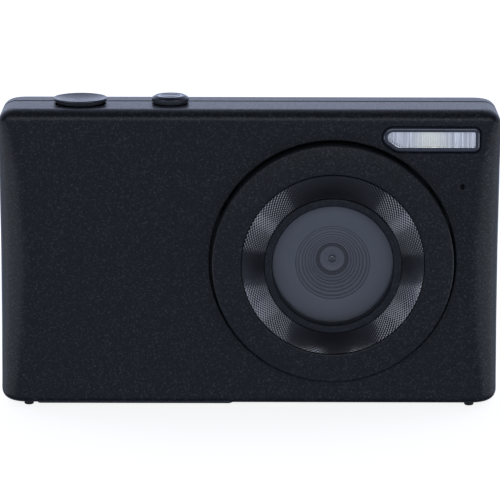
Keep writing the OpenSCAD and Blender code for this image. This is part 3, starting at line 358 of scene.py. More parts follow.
def speckled_paint(name, dark, light, cell=4300.0, lean=0.11, rough=0.34):
    """Matt paint with fine flakes that lean a little differently each."""
    n = Nodes(name)
    tone = n.add("ShaderNodeSeparateColor", Color=n.cells(cell)).outputs["Red"]
    drift = n.noise(400.0, 2.0)
    spread = n.math("MULTIPLY", n.math("POWER", tone, 6.0), n.span(drift, 0.75, 1.25), clamp=True)
    n.set(
        Base_Color=n.blend(spread, dark, light),
        Roughness=n.span(n.noise(5200.0, 2.0), rough - 0.04, rough + 0.04),
        Normal=n.flakes(cell, lean), Specular_IOR_Level=0.3,
    )
    return n.material


def moulded(name, colour, rough=0.5, grain=2600.0, depth=0.000012, coat=0.0):
    """Moulded plastic or rubber with a fine grain."""
    n = Nodes(name)
    shade = n.noise(grain * 0.08, 3.0)
    lighter = tuple(min(1.0, c * 1.25 + 0.002) for c in colour)
    darker = tuple(c * 0.82 for c in colour)
    n.set(
        Base_Color=n.blend(shade, darker, lighter),
        Roughness=n.span(n.noise(grain, 2.0), rough - 0.07, rough + 0.07),
        Normal=n.bump(n.noise(grain, 3.0), depth), Coat_Weight=coat,
    )
    return n.material


def metal(name, colour, rough=0.25, grain=(60.0, 60.0, 4000.0), depth=0.000003):
    """Bare or plated metal with a fine directional grain."""
    n = Nodes(name)
    lines = n.streaks(grain, 4.0)
    n.set(
        Base_Color=n.blend(lines, tuple(c * 0.85 for c in colour), colour), Metallic=1.0,
        Roughness=n.span(lines, rough - 0.06, rough + 0.08), Normal=n.bump(lines, depth),
    )
    return n.material


def ringed_metal(name, colour, rough, centre, axis, pitch, depth):
    """Turned metal: fine rings about an axis through centre, in metres."""
    n = Nodes(name)
    flat = n.vector("MULTIPLY", n.vector("SUBTRACT", n.coords, centre).outputs[0], axis)
    away = n.vector("LENGTH", flat.outputs[0])
    wave = n.math("SINE", n.math("MULTIPLY", away.outputs["Value"], TAU / pitch))
    fine = n.noise(9000.0, 2.0)
    n.set(
        Base_Color=n.blend(fine, tuple(c * 0.9 for c in colour), colour), Metallic=1.0,
        Roughness=n.span(fine, rough - 0.04, rough + 0.06), Normal=n.bump(wave, depth),
    )
    return n.material


def clear(name, colour, ior=1.5):
    """Clear glass or plastic; a faint haze keeps it from being perfectly even."""
    n = Nodes(name)
    haze = n.noise(900.0, 3.0)
    n.set(
        Base_Color=n.blend(haze, colour, tuple(min(1.0, c * 1.03) for c in colour)),
        Roughness=n.span(haze, 0.0, 0.01), Transmission_Weight=1.0, IOR=ior,
    )
    return n.material


PAINT = speckled_paint("body_paint", (0.0135, 0.0155, 0.019), (0.055, 0.057, 0.064))
PAINT_REAR = speckled_paint("rear_paint", (0.0135, 0.015, 0.0185), (0.065, 0.068, 0.075))
LIP = speckled_paint("lip_black", (0.016, 0.018, 0.022), (0.05, 0.053, 0.06), rough=0.3)
KNURL = metal("knurled_metal", (0.24, 0.24, 0.25), rough=0.12, grain=(900.0, 900.0, 900.0))
BAFFLE = moulded("baffle_grey", (0.1, 0.108, 0.128), rough=0.42, grain=700.0, depth=0.000002)
# Dark teal for the lens centre: partly the teal of coated glass, partly painted shade for the dark view into
# the lens.
PUPIL = moulded("lens_pupil", (0.006, 0.012, 0.016), rough=0.05, grain=800.0, depth=0.0, coat=1.0)
BARREL = moulded("barrel_black", (0.006, 0.006, 0.007), rough=0.55)
GLASS = clear("clear_glass", (0.96, 0.97, 1.0))
LENS_GLASS = clear("lens_glass", (0.9, 0.97, 0.96))
FILTER_GLASS = clear("filter_glass", (0.6, 0.85, 0.85))
FLASH_CLEAR = clear("flash_clear", (0.95, 0.97, 1.0), ior=1.49)
FLASH_FRAME = moulded("flash_frame", (0.05, 0.056, 0.08), rough=0.12, coat=1.0)
CHROME = metal("reflector_chrome", (0.86, 0.86, 0.88), rough=0.12, grain=(400.0, 400.0, 400.0))
LED = moulded("led_white", (0.75, 0.72, 0.6), rough=0.4)
STEEL = metal("sheet_metal", (0.55, 0.55, 0.57), rough=0.28)
SCREW = metal("screw_steel", (0.14, 0.14, 0.155), rough=0.3, grain=(900.0, 900.0, 900.0))
BRASS = metal("socket_brass", (0.66, 0.56, 0.36), rough=0.3, grain=(300.0, 300.0, 3000.0))
GOLD = metal("contact_gold", (0.85, 0.62, 0.25), rough=0.22)
RUBBER = moulded("rubber_black", (0.012, 0.012, 0.013), rough=0.8, grain=1800.0, depth=0.00003)
PLASTIC = moulded("inner_plastic", (0.02, 0.02, 0.022), rough=0.55)
KEY = moulded("key_black", (0.014, 0.0145, 0.018), rough=0.36, grain=5200.0, depth=0.000004, coat=0.15)
MARK = moulded("key_marks", (0.42, 0.43, 0.45), rough=0.5)
BOARD = moulded("board_green", (0.01, 0.07, 0.03), rough=0.35, coat=0.3)
SILICON = moulded("sensor_face", (0.03, 0.05, 0.06), rough=0.15, coat=1.0)
SCREEN = moulded("screen_glass", (0.0035, 0.0036, 0.0045), rough=0.07, grain=500.0, depth=0.0, coat=1.0)
PANEL = moulded("screen_panel", (0.012, 0.013, 0.017), rough=0.2)
LIGHT = moulded("light_ring", (0.55, 0.62, 0.74), rough=0.3, coat=0.6)
PACK = moulded("battery_grey", (0.05, 0.052, 0.06), rough=0.4)
ORANGE = moulded("latch_orange", (0.8, 0.22, 0.02), rough=0.4)
CARD = moulded("card_blue", (0.01, 0.03, 0.13), rough=0.45)
TURNED = tuple(v * MM for v in (*SHUTTER, 0))
BUTTON = ringed_metal("button_metal", (0.028, 0.03, 0.035), 0.22, TURNED, (1, 1, 0), 0.00016, 0.000002)
# Lighter, non-metal side for the button caps: painted light standing in for the light their fluted metal
# sides catch.
BUTTON_SIDE_PAINTED_LIGHT = moulded("button_side_painted_light", (0.1, 0.105, 0.125), rough=0.18, grain=2600.0, depth=0.00002)
# Near-black material for the faces inside the seam groove: painted shade.
SEAM_SHADE_PAINT = moulded("seam_shadow", (0.003, 0.0034, 0.0045), rough=0.8)
POWER_METAL = ringed_metal(
    "power_metal", (0.05, 0.052, 0.06), 0.14, tuple(v * MM for v in (*POWER, 0)), (1, 1, 0), 0.00016, 0.000002
)


# ---- covers

# Radii of the body's edges, and its wall.
TOP_CORNER, BASE_CORNER = 3.0, 2.5
FRONT_TOP, FRONT_BASE, REAR_EDGE, SIDE_REAR = 2.2, 1.5, 1.5, 2.0
WALL = 1.4
SEAM_WIDTH = 0.8
SEAM_GAP = 0.03
# Radius between the front and the sides, by the distance below the top.
SIDE_RADII = [
    (0.0, 1.5), (2.1, 2.0), (6.4, 3.4), (12.3, 4.8), (27.8, 6.0), (40.0, 5.5), (51.2, 4.1), (57.0, 3.0)
]


def side_radius(z):
    """Radius between the front and the sides at height z."""
    down = TOP_Z - z
    for (d0, r0), (d1, r1) in zip(SIDE_RADII, SIDE_RADII[1:]):
        if down <= d1:
            t = max(0.0, (down - d0) / (d1 - d0))
            t = t * t * (3 - 2 * t) * 0.5 + t * 0.5
            return r0 + (r1 - r0) * t
    return SIDE_RADII[-1][1]


def drawn_in(z, low, high, low_r, high_r):
    """How far a rounded edge has drawn in at height z."""
    if z > high - high_r:
        return high_r - math.sqrt(max(0.0, high_r ** 2 - (z - high + high_r) ** 2))
    if z < low + low_r:
        return low_r - math.sqrt(max(0.0, low_r ** 2 - (low + low_r - z) ** 2))
    return 0.0


def body_outline(z, inset):
    low, high = BASE_Z + inset, TOP_Z - inset
    shrink = [max(r - inset, 0.15) for r in (BASE_CORNER, TOP_CORNER, FRONT_BASE, FRONT_TOP, REAR_EDGE)]
    half = HALF_W - inset - drawn_in(z, low, high, shrink[0], shrink[1])
    y0 = FRONT_Y + inset + drawn_in(z, low, high, shrink[2], shrink[3])
    y1 = REAR_Y - inset - drawn_in(z, low, high, shrink[4], shrink[4])
    front, rear = max(side_radius(z) - inset, 0.15), max(SIDE_REAR - inset, 0.15)
    return round_rect((-half, half), (y0, y1), [front, front, rear, rear], steps=14)


def body_solid(inset=0.0):
    low, high = BASE_Z + inset, TOP_Z - inset
    heights = [low + BASE_CORNER * (1 - math.cos(math.radians(90 * i / 16))) for i in range(17)]
    middle_low, middle_high = low + BASE_CORNER, high - TOP_CORNER
    heights += [middle_low + (middle_high - middle_low) * i / 24 for i in range(1, 24)]
    heights += [high - TOP_CORNER * (1 - math.cos(math.radians(90 * i / 22))) for i in range(22, -1, -1)]
    return loft("Z", [(body_outline(z, inset), z) for z in heights])


def flash_outline(margin=0.0):
    """Flash window on X and Z: round at its left end, with the lower left corner cut off."""
    low, high = box_mm("flash_window")
    x, z = (low[0], high[0]), (low[2], high[2])
    right, top_left = 1.15, 1.9
    outline = (
        [(x[0], z[0] + 2.5), (x[0] + 0.12, z[0] + 1.95), (x[0] + 0.5, z[0] + 1.4), (x[0] + 2.0, z[0] + 0.36),
         (x[0] + 2.5, z[0] + 0.1), (x[0] + 3.1, z[0])]
        + arc(x[1] - right, z[0] + right, right, 270, 360, 6)
        + arc(x[1] - right, z[1] - right, right, 0, 90, 6)
        + arc(x[0] + top_left, z[1] - top_left, top_left, 90, 180, 8)
    )
    return inset(outline, -margin)


def hole(centre, axis, r, inner, face, flare=0.15):
    """Cutter for a round hole whose mouth at face is chamfered; inner is where it ends inside."""
    out = 1.0 if face > inner else -1.0
    beyond = 0.5
    mouth = face + out * beyond
    return lathe(centre, axis, [
        (0, inner), (r, inner), (r, face - out * flare), (r + flare + beyond, mouth), (0, mouth)
    ], 96)


def top_holes():
    return joined(
        hole(SHUTTER, "Z", half_size("shutter_button")[0] - 0.5, TOP_Z - WALL - 1, TOP_Z, 0.2),
        hole(POWER, "Z", half_size("power_button")[0] - 0.7, TOP_Z - WALL - 1, TOP_Z, 0.2),
    )


def door_opening():
    low, high = box_mm("battery_door")
    outline = round_rect((low[0] - 0.35, high[0] - 0.7), (low[1] - 0.2, high[1] + 0.2), [0.5] * 4, 4)
    return loft("Z", [(outline, BASE_Z - 1), (outline, BASE_Z + WALL + 0.5)])


def countersinks():
    """Cutters for the case screws in both sides and the bottom."""
    low_z, mid_z, high_z = BASE_Z + 8.9, BASE_Z + 31.4, BASE_Z + 46.9
    bottom_x = 18.0
    bore, depth, flare = 0.8, 2.5, 0.78
    y = middle("case_screws")[1]
    return joined(
        *[hole((y, z), "X", bore, -HALF_W + depth, -HALF_W, flare) for z in (low_z, mid_z)],
        *[hole((y, z), "X", bore, HALF_W - depth, HALF_W, flare) for z in (low_z, high_z)],
        hole((bottom_x, y), "Z", bore, BASE_Z + depth, BASE_Z, flare),
    )


def matched_normals(obj, reference):
    """Gives the faces that lie on the smooth body shape that shape's own normals."""
    ref = raw_object("reference", reference)
    ref.data.shade_smooth()
    ref.data.calc_loop_triangles()
    points = [v.co.copy() for v in ref.data.vertices]
    normals = [v.normal.copy() for v in ref.data.vertices]
    triangles = [tuple(t.vertices) for t in ref.data.loop_triangles]
    tree = BVHTree.FromPolygons(points, triangles)
    mesh = obj.data
    mesh.shade_smooth()
    mesh.set_sharp_from_angle(angle=math.radians(32))
    given = [Vector(c.vector) for c in mesh.corner_normals]
    touching, aligned = 0.03, 0.86
    for face in mesh.polygons:
        near, direction, index, away = tree.find_nearest(face.center)
        if away > touching or direction.dot(face.normal) < aligned:
            continue
        for corner in face.loop_indices:
            spot = mesh.vertices[mesh.loops[corner].vertex_index].co
            near, direction, index, away = tree.find_nearest(spot)
            if away > touching:
                continue
            a, b, c = triangles[index]
            u, v, w = barycentric(near, points[a], points[b], points[c])
            given[corner] = (normals[a] * u + normals[b] * v + normals[c] * w).normalized()
    mesh.normals_split_custom_set([tuple(g) for g in given])
    bpy.data.objects.remove(ref)


def barycentric(p, a, b, c):
    ab, ac, ap = b - a, c - a, p - a
    d00, d01, d11 = ab.dot(ab), ab.dot(ac), ac.dot(ac)
    d20, d21 = ap.dot(ab), ap.dot(ac)
    scale = d00 * d11 - d01 * d01
    if abs(scale) < 1e-14:
        return 1.0, 0.0, 0.0
    v = (d11 * d20 - d01 * d21) / scale
    w = (d00 * d21 - d01 * d20) / scale
    return 1 - v - w, v, w


def slab(y0, y1):
    """Block from y0 to y1 that reaches past the body all round."""
    reach = 5.0
    return brick((-HALF_W - reach, y0, BASE_Z - reach), (HALF_W + reach, y1, TOP_Z + reach))


def seam_groove(depth=0.5):
    """Band round the body at the seam, as deep as the groove between the covers."""
    band = raw_object("band", slab(SEAM_Y - SEAM_WIDTH / 2, SEAM_Y + SEAM_WIDTH / 2))
    carve(band, body_solid(depth))
    part = [tuple(v.co) for v in band.data.vertices], [tuple(f.vertices) for f in band.data.polygons]
    bpy.data.objects.remove(band)
    return part


def shell(name, y0, y1, cutters, replaced, paint):
    """One cover: the hollow body from y0 to y1, less its cutters, with painted shade in its seam groove."""
    cover = raw_object(name, body_solid())
    carve(cover, body_solid(WALL))
    carve(cover, slab(y0, y1), "INTERSECT")
    for part in [seam_groove()] + cutters:
        carve(cover, part)
    matched_normals(cover, body_solid())
    mesh = cover.data
    mesh.transform(Matrix.Scale(MM, 4))
    mesh.materials.clear()
    mesh.materials.append(paint)
    # The faces inside the seam groove take the near-black material: painted shade where the groove lies in
    # shadow.
    mesh.materials.append(SEAM_SHADE_PAINT)
    for face in mesh.polygons:
        if abs(face.center.y / MM - SEAM_Y) < SEAM_WIDTH / 2 + 0.01:
            face.material_index = 1
    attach(cover, "camera")
    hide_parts(*replaced)
    return cover


def front_cutters():
    usb = middle("usb_port")
    usb_half = half_size("usb_port")
    usb_slot = capsule((usb[1], usb[2]), (usb_half[1], usb_half[2]), 0.12)
    usb_flare = capsule((usb[1], usb[2]), (usb_half[1], usb_half[2]), 0.35)
    pin = middle("strap_pin")
    pocket = round_rect((pin[1] - 2.0, pin[1] + 2.0), (pin[2] - 4.5, pin[2] + 4.5), [0.9] * 4, 6)
    speaker = middle("speaker")
    inside_y, inside_z = FRONT_Y + WALL + 0.5, BASE_Z + WALL + 0.5
    flash = [(flash_outline(0.08), inside_y), (flash_outline(0.08), FRONT_Y + 0.3),
             (flash_outline(0.3), FRONT_Y), (flash_outline(0.3), FRONT_Y - 0.5)]
    openings = joined(
        hole(LENS, "Y", 23.35, inside_y, FRONT_Y, 0.22),
        hole(across("microphone"), "Y", 0.42, inside_y, FRONT_Y, 0.12),
        hole(middle("tripod_nut")[:2], "Z", 4.15, inside_z, BASE_Z, 0.15),
        *[hole((speaker[0] + 2.0 * i, speaker[1]), "Z", 0.5, inside_z, BASE_Z, 0.12) for i in range(-2, 3)],
        loft("X", [(usb_slot, HALF_W - WALL - 0.5), (usb_slot, HALF_W - 0.25), (usb_flare, HALF_W),
                   (usb_flare, HALF_W + 0.5)]),
        countersinks(),
    )
    pocket_part = loft("X", [(pocket, -HALF_W + 1.6), (pocket, -HALF_W - 1)])
    return [openings, loft("Y", flash), top_holes(), door_opening(), pocket_part]


def rear_cutters():
    low, high = box_mm("lcd_window")
    pocket = round_rect((low[0] - 0.1, high[0] + 0.1), (low[2] - 0.1, high[2] + 0.1), [1.3] * 4, 8)
    parts = [loft("Y", [(pocket, REAR_Y - 0.9), (pocket, REAR_Y + 1)])]
    inside = REAR_Y - WALL - 0.5
    for key in ("mode_key", "playback_key", "menu_key", "delete_key"):
        parts.append(hole(across(key), "Y", 2.95, inside, REAR_Y, 0.15))
    parts.append(hole(across("ok_key"), "Y", 9.1, inside, REAR_Y, 0.2))
    slot = capsule(across("zoom_rocker"), ZOOM_HALF, 0.22)
    parts.append(loft("Y", [(slot, inside), (slot, REAR_Y + 0.5)]))
    parts.append(hole(across("status_light_pipe"), "Y", 0.75, inside, REAR_Y, 0.1))
    return [joined(*parts), top_holes(), door_opening()]


shell("front_shell", FRONT_Y - 1, SEAM_Y - SEAM_GAP, front_cutters(), ["front_cover"], PAINT)
shell("rear_shell", SEAM_Y + SEAM_GAP, REAR_Y + 1, rear_cutters(), ["rear_cover"], PAINT_REAR)


# ---- lens group

BEZEL_R = 22.9
TRIM_R = half_size("lens_trim_ring")[0]
LIP_R = half_size("lens_lip_ring")[0]
TRIM_Y = FRONT_Y - 3.05


def bezel_part():
    dome, steps = [], 12
    dome_r0, dome_r1, rise = TRIM_R + 0.28, BEZEL_R - 0.4, 0.45
    for i in range(1, steps + 1):
        t = i / steps
        dome.append((dome_r0 + (dome_r1 - dome_r0) * t, TRIM_Y + rise * (0.45 * t + 0.55 * t * t)))
    seat = [(LIP_R + 0.05, TRIM_Y + 0.85), (TRIM_R + 0.1, TRIM_Y + 0.85)]
    rim = [(TRIM_R + 0.1, TRIM_Y + 0.18), (TRIM_R + 0.16, TRIM_Y + 0.06), (TRIM_R + 0.28, TRIM_Y + 0.01)]
    edge = arc(dome_r1, TRIM_Y + rise + 0.4, 0.4, -78, 0, 8)
    back = [(BEZEL_R, FRONT_Y + 1.7), (BEZEL_R - 1.2, FRONT_Y + 1.7), (BEZEL_R - 1.2, TRIM_Y + 1.65),
            (LIP_R + 0.05, TRIM_Y + 1.65)]
    ring = lathe(LENS, "Y", seat + rim + dome + edge + back, 256)
    lugs = []
    for angle in (45, 135, 225, 315):
        turn = Matrix.Rotation(math.radians(-angle), 3, "Y")
        v, f = brick((BEZEL_R - 1.1, FRONT_Y + 2.45, -2.5), (BEZEL_R + 3.3, FRONT_Y + 3.2, 2.5))
        w, g = brick((BEZEL_R - 1.1, FRONT_Y + 1.5, -2.5), (BEZEL_R - 0.1, FRONT_Y + 2.6, 2.5))
        for verts, faces in ((v, f), (w, g)):
            moved = [tuple(turn @ Vector(p) + Vector((LENS[0], 0, LENS[1]))) for p in verts]
            lugs.append((moved, faces))
    return joined(ring, *lugs)


piece("lens_bezel_ring", bezel_part(), PAINT, stands_for=["lens_bezel"], slot="body_paint", crease=26)


def knurl_part(turns=124, lean=1.6, depth=0.135):
    """Ring whose front is cut by two crossing families of spiral grooves into small pyramids."""
    inner, outer = LIP_R + 0.09, TRIM_R - 0.05
    step = TAU / (4 * turns)
    rows = int(round(math.log(outer / inner) / (step / lean)))
    columns = 4 * turns
    verts, faces = [], []

    def height(s, d):
        tri = [2 * abs(v / 4 - round(v / 4)) for v in (s, d)]
        return min(tri)

    def cone(r):
        t = (r - inner) / (outer - inner)
        return LENS_FRONT_Y + 0.06 + (TRIM_Y - LENS_FRONT_Y - 0.06) * t

    for j in range(rows + 1):
        r = inner * math.exp(math.log(outer / inner) * j / rows)
        for i in range(columns):
            a = step * i
            y = cone(r) + depth * (1 - height(i + j, i - j))
            verts.append((LENS[0] + r * math.cos(a), y, LENS[1] + r * math.sin(a)))
    for j in range(rows):
        for i in range(columns):
            n = (i + 1) % columns
            a, b = j * columns + i, j * columns + n
            c, d = a + columns, b + columns
            if (i + j) % 2 == 0:
                faces += [(a, b, d), (a, d, c)]
            else:
                faces += [(a, b, c), (b, d, c)]
    back_y = TRIM_Y + 0.8
    start = len(verts)
    for r in (outer + 0.05, outer + 0.05, inner - 0.05, inner - 0.05):
        y = {0: cone(outer) + depth + 0.03, 1: back_y, 2: back_y, 3: cone(inner) + depth + 0.03}[
            (len(verts) - start) // columns]
        for i in range(columns):
            verts.append((LENS[0] + r * math.cos(step * i), y, LENS[1] + r * math.sin(step * i)))
    loops = [rows * columns, start, start + columns, start + 2 * columns, start + 3 * columns, 0]
    for p, q in zip(loops, loops[1:]):
        for i in range(columns):
            n = (i + 1) % columns
            faces.append((p + i, p + n, q + n, q + i))
    return verts, faces


piece("knurled_trim_ring", knurl_part(), KNURL, stands_for=["lens_trim_ring"], slot="knurled_metal", crease=8)

lip_inner = LIP_R - 1.55
piece("lens_lip", lathe(LENS, "Y", soften([
    (lip_inner, LENS_FRONT_Y + 0.5), (lip_inner + 0.3, LENS_FRONT_Y), (LIP_R - 0.05, LENS_FRONT_Y),
    (LIP_R - 0.05, FRONT_Y + 1.4), (lip_inner + 0.6, FRONT_Y + 1.4), (lip_inner + 0.6, LENS_FRONT_Y + 2.5),
    (lip_inner, LENS_FRONT_Y + 2.5)
], 0.1), 256), LIP, stands_for=["lens_lip_ring"], slot="lip_black", crease=40)


def baffle_part():
    """Funnel of shallow steps, with a fine groove at the foot of each one."""
    y = box_mm("lens_baffle")[0][1]
    outer = LIP_R - 1.0
    profile = [(outer, y)]
    for r, rise in ((7.1, 0.3), (6.6, 0.5), (5.9, 0.5), (5.3, 0.5), (4.7, 0.5), (4.2, 0.5), (3.7, 0.5)):
        profile += [(r, y), (r - 0.02, y + rise + 0.22), (r - 0.16, y + rise + 0.22), (r - 0.18, y + rise)]
        y += rise
    profile += [(3.15, y), (3.15, y + 0.5), (8.0, y - 2.6), (outer, y - 2.4)]
    return lathe(LENS, "Y", soften(profile, 0.03, 2), 192)


piece("lens_baffle_steps", baffle_part(), BAFFLE, stands_for=["lens_baffle"], slot="baffle_grey", crease=30)
iris_y = box_mm("front_lens")[0][1]
piece("lens_iris", lathe(LENS, "Y", soften([
    (0.72, iris_y + 0.45), (0.9, iris_y + 0.3), (1.3, iris_y + 0.3), (1.4, iris_y + 0.2),
    (2.2, iris_y + 0.05), (2.44, iris_y + 0.12), (2.44, iris_y + 0.8), (0.72, iris_y + 0.8)
], 0.04), 96), BAFFLE, stands_for=["front_lens"], slot="baffle_grey")
# Opaque dark disc at the lens centre: painted shade where the view into the lens is dark, in the teal of its
# coated glass.
piece("lens_pupil", lathe(LENS, "Y", [
    (0.0, iris_y + 0.28), (0.25, iris_y + 0.3), (0.5, iris_y + 0.37), (0.71, iris_y + 0.5),
    (0.71, iris_y + 0.75), (0, iris_y + 0.75)
], 64), PUPIL, slot="clear_glass", crease=50)


# ---- flash

flash_low, flash_high = box_mm("flash_window")


def flash_frame_part():
    """Frame of the flash window, which rounds over to its front; its opening is cut out later."""
    y = flash_low[1]
    return loft("Y", [
        (flash_outline(-0.42), y), (flash_outline(-0.2), y + 0.07), (flash_outline(-0.06), y + 0.2),
        (flash_outline(0.0), y + 0.45), (flash_outline(0.0), y + 1.0), (flash_outline(-0.1), y + 1.1)
    ])


def flash_rib_part(pitch=0.44, depth=0.09):
    """Plate behind the window whose front carries fine upright ribs with sloping sides."""
    y = flash_low[1] + 1.2
    x0, x1 = flash_low[0], flash_high[0]
    outline = []
    for i in range(int((x1 - x0) / pitch)):
        x = x0 + i * pitch
        outline += [(x, y + depth), (x + pitch * 0.2, y + depth), (x + pitch * 0.4, y), (x + pitch * 0.8, y)]
    outline += [(x1, y + depth), (x1, y + 0.6), (x0, y + 0.6)]
    return loft("Z", [(outline, flash_low[2]), (outline, flash_high[2])])


def flash_rib_material():
    """Silvery ribs with light and dark upright stripes painted on as highlights and shade, tinted yellow in
    front of the light's phosphor, with a faint painted glow.
    """
    n = Nodes("flash_ribs")
    x = n.add("ShaderNodeSeparateXYZ", Vector=n.coords).outputs["X"]
    away = n.math("ABSOLUTE", n.math("SUBTRACT", x, middle("flash_led_board")[0] * MM))
    glow = n.span(away, 0.0, 1.0, start=0.004, end=0.0008)
    # Painted highlights and shade: light and dark upright stripes in the base colour, standing in for the
    # light the ribs catch.
    lines = n.span(n.streaks((3100.0, 10.0, 60.0), 2.0), 0.0, 1.0, start=0.4, end=0.6)
    silver = n.blend(lines, (0.3, 0.315, 0.36), (0.95, 0.96, 1.0))
    # The emission is a painted glow: the ribs are no lamp.
    n.set(Base_Color=n.blend(glow, silver, (0.97, 0.95, 0.78)), Metallic=0.6,
          Roughness=n.span(lines, 0.2, 0.3), Emission_Color=(0.84, 0.88, 1.0, 1), Emission_Strength=0.26)
    return n.material


rib_outline = inset(flash_outline(), 0.88)
rib_block = loft("Y", [(rib_outline, flash_low[1] - 1), (rib_outline, flash_low[1] + 3)])
ribs = raw_object("flash_ribs", flash_rib_part())
carve(ribs, rib_block, "INTERSECT")
settle(ribs, flash_rib_material(), slot="reflector_chrome", crease=10)
rim = raw_object("flash_frame", flash_frame_part())
carve(rim, rib_block)
settle(rim, FLASH_FRAME, stands_for=["flash_window"], slot="flash_lens", crease=50)
pane = inset(flash_outline(), 0.86)
piece("flash_pane", loft("Y", [(inset(pane, 0.12), flash_low[1] + 0.12), (pane, flash_low[1] + 0.24),
                               (pane, flash_low[1] + 0.8)]), FLASH_CLEAR, slot="flash_lens")


# ---- top buttons


power_top = TOP_Z + 1.55


def stem(r_neck, top_z):
    """Part of a button that goes through the top and down to its switch."""
    inner_z = TOP_Z - WALL
    return [(0, inner_z - 3.4), (1.3, inner_z - 3.4), (1.3, inner_z - 0.7), (r_neck + 1, inner_z - 0.7),
            (r_neck + 1, inner_z - 0.15), (r_neck, inner_z - 0.15), (r_neck, top_z)]


def flute(part, centre, z0, z1, depth=0.022):
    """Draws every other point of a cap's side in a little, for the upright flutes of its grip."""
    verts = []
    for i, (x, y, z) in enumerate(part[0]):
        if z0 < z < z1 and i % 2:
            x, y = centre[0] + (x - centre[0]) * (1 - depth), centre[1] + (y - centre[1]) * (1 - depth)
        verts.append((x, y, z))
    return verts, part[1]


def shutter_part():
    r, top = 5.15, TOP_Z + 1.08
    dish_r, steps = r - 0.55, 14
    dish = []
    for i in range(1, steps + 1):
        t = i / steps
        dish.append((dish_r * (1 - t), top - 0.04 - 0.5 * (1 - (1 - t) ** 2)))
    profile = stem(4.4, TOP_Z + 0.1) + [
        (4.45, TOP_Z + 0.08), (4.68, TOP_Z + 0.3), (4.84, TOP_Z + 0.6), (5.04, TOP_Z + 0.68),
        (r - 0.03, TOP_Z + 0.78), (r, top - 0.2), (r, top - 0.1), (r - 0.1, top), (r - 0.4, top),
        (r - 0.5, top - 0.03)
    ] + dish
    return flute(lathe(SHUTTER, "Z", profile, 192), SHUTTER, TOP_Z + 0.2, top - 0.22)


def power_part():
    r, top = 3.55, power_top
    profile = stem(3.15, TOP_Z + 0.1) + [
        (3.2, TOP_Z + 0.1), (3.36, TOP_Z + 0.26), (r - 0.07, TOP_Z + 0.44), (r - 0.03, TOP_Z + 0.84),
        (r, TOP_Z + 0.9), (r, TOP_Z + 1.08), (r - 0.08, TOP_Z + 1.18), (2.95, top - 0.04), (2.85, top),
        (2.5, top), (2.45, top - 0.3), (1.9, top - 0.3), (1.85, top - 0.12), (1.75, top - 0.08),
        (0, top - 0.12)
    ]
    return flute(lathe(POWER, "Z", profile, 144), POWER, TOP_Z + 0.18, TOP_Z + 0.85)


def paint_light_on_side(cap):
    """Gives the fluted side of a cap a lighter, non-metal material: painted light standing in for the light
    its metal side catches.
    """
    for face in cap.data.polygons:
        if face.center.z > (TOP_Z + 0.05) * MM and face.normal.z < 0.35:
            face.material_index = 1


# The caps' fluted sides take the lighter material: painted light.
paint_light_on_side(piece("shutter_cap", shutter_part(), [BUTTON, BUTTON_SIDE_PAINTED_LIGHT], body="shutter",
                    stands_for=["shutter_button"], slot="button_metal", crease=28))
paint_light_on_side(piece("power_cap", power_part(), [POWER_METAL, BUTTON_SIDE_PAINTED_LIGHT], body="power",
                    stands_for=["power_button"], slot="button_metal", crease=28))
piece("power_glow", lathe(POWER, "Z", soften([
    (1.92, power_top - 0.28), (1.92, power_top - 0.06), (2.43, power_top - 0.06), (2.43, power_top - 0.28)
], 0.05), 96), LIGHT, body="power", stands_for=["power_light_ring"], slot="light_ring")


# ---- rear keys


# Directions of the arrow keys, in degrees from +X towards +Z.
ARROWS = {"up": 90, "down": -90, "left": 0, "right": 180}


def key_profile(r, crown=0.12):
    low = box_mm("mode_key")[0][1]
    inner = REAR_Y - WALL
    top = KEY_Y - 0.03
    angles = [math.radians(d) for d in range(40, 90, 10)]
    face = [(r * math.cos(a) * 0.97, top - crown + crown * math.sin(a)) for a in angles]
    return [(0, low), (0.8, low), (0.8, inner - 0.9), (r + 0.6, inner - 0.9), (r + 0.6, inner - 0.2),
            (r, inner - 0.2), (r, KEY_Y - 0.28), (r - 0.08, KEY_Y - 0.14)] + face + [(0, top)]


def ring(at, r, width, steps=24):
    """Flat ring as two half outlines, so that each stays a simple shape."""
    out = []
    for start in (0, 180):
        end = start + 180
        out.append(arc(*at, r, start, end, steps) + arc(*at, r - width, end, start, steps))
    return out


def rect_at(at, x, z, w, h):
    """Rectangle w by h, its centre moved by x and z from at; x runs to the right as seen from behind."""
    cx, cz = at[0] - x, at[1] + z
    x0, x1, z0, z1 = cx - w / 2, cx + w / 2, cz - h / 2, cz + h / 2
    return [(x0, z0), (x1, z0), (x1, z1), (x0, z1)]


def triangle(at, r, angle):
    """Arrowhead that points along angle, in degrees from +X towards +Z."""
    turns = [math.radians(angle + a) for a in (0, 120, 240)]
    return [(at[0] + r * math.cos(a), at[1] + r * math.sin(a)) for a in turns]


def mark_shapes(key, at):
    """Generic pictures on the keys: bars, an arrowhead in a ring, a bin, a dial."""
    if key == "menu":
        return [rect_at(at, 0, z, 2.0, 0.26) for z in (-0.65, 0, 0.65)]
    if key == "playback":
        return ring(at, 1.35, 0.2) + [triangle((at[0] - 0.08, at[1]), 0.72, 180)]
    if key == "delete":
        bars = [rect_at(at, x, -0.25, 0.2, 1.3) for x in (-0.6, 0.0, 0.6)]
        floor_and_lid = [(-1.0, 1.4, 0.2), (0.75, 1.9, 0.24), (1.05, 0.7, 0.2)]
        return bars + [rect_at(at, 0, z, w, h) for z, w, h in floor_and_lid]
    if key == "mode":
        return ring(at, 1.3, 0.2) + ring(at, 0.5, 0.2)
    return [triangle(at, 0.62, ARROWS[key])]


def key_cap(key, part, node):
    piece(f"{key}_cap", part, KEY, body=key, stands_for=[node], slot="key_black", crease=28)


def add_marks(key, at):
    """Adds a key's picture, which is let into its cap and stands just proud of it."""
    parts = [loft("Y", [(shape, KEY_Y - 0.3), (shape, KEY_Y)]) for shape in mark_shapes(key, at)]
    piece(f"{key}_mark", joined(*parts), MARK, body=key, slot="key_black", crease=20)


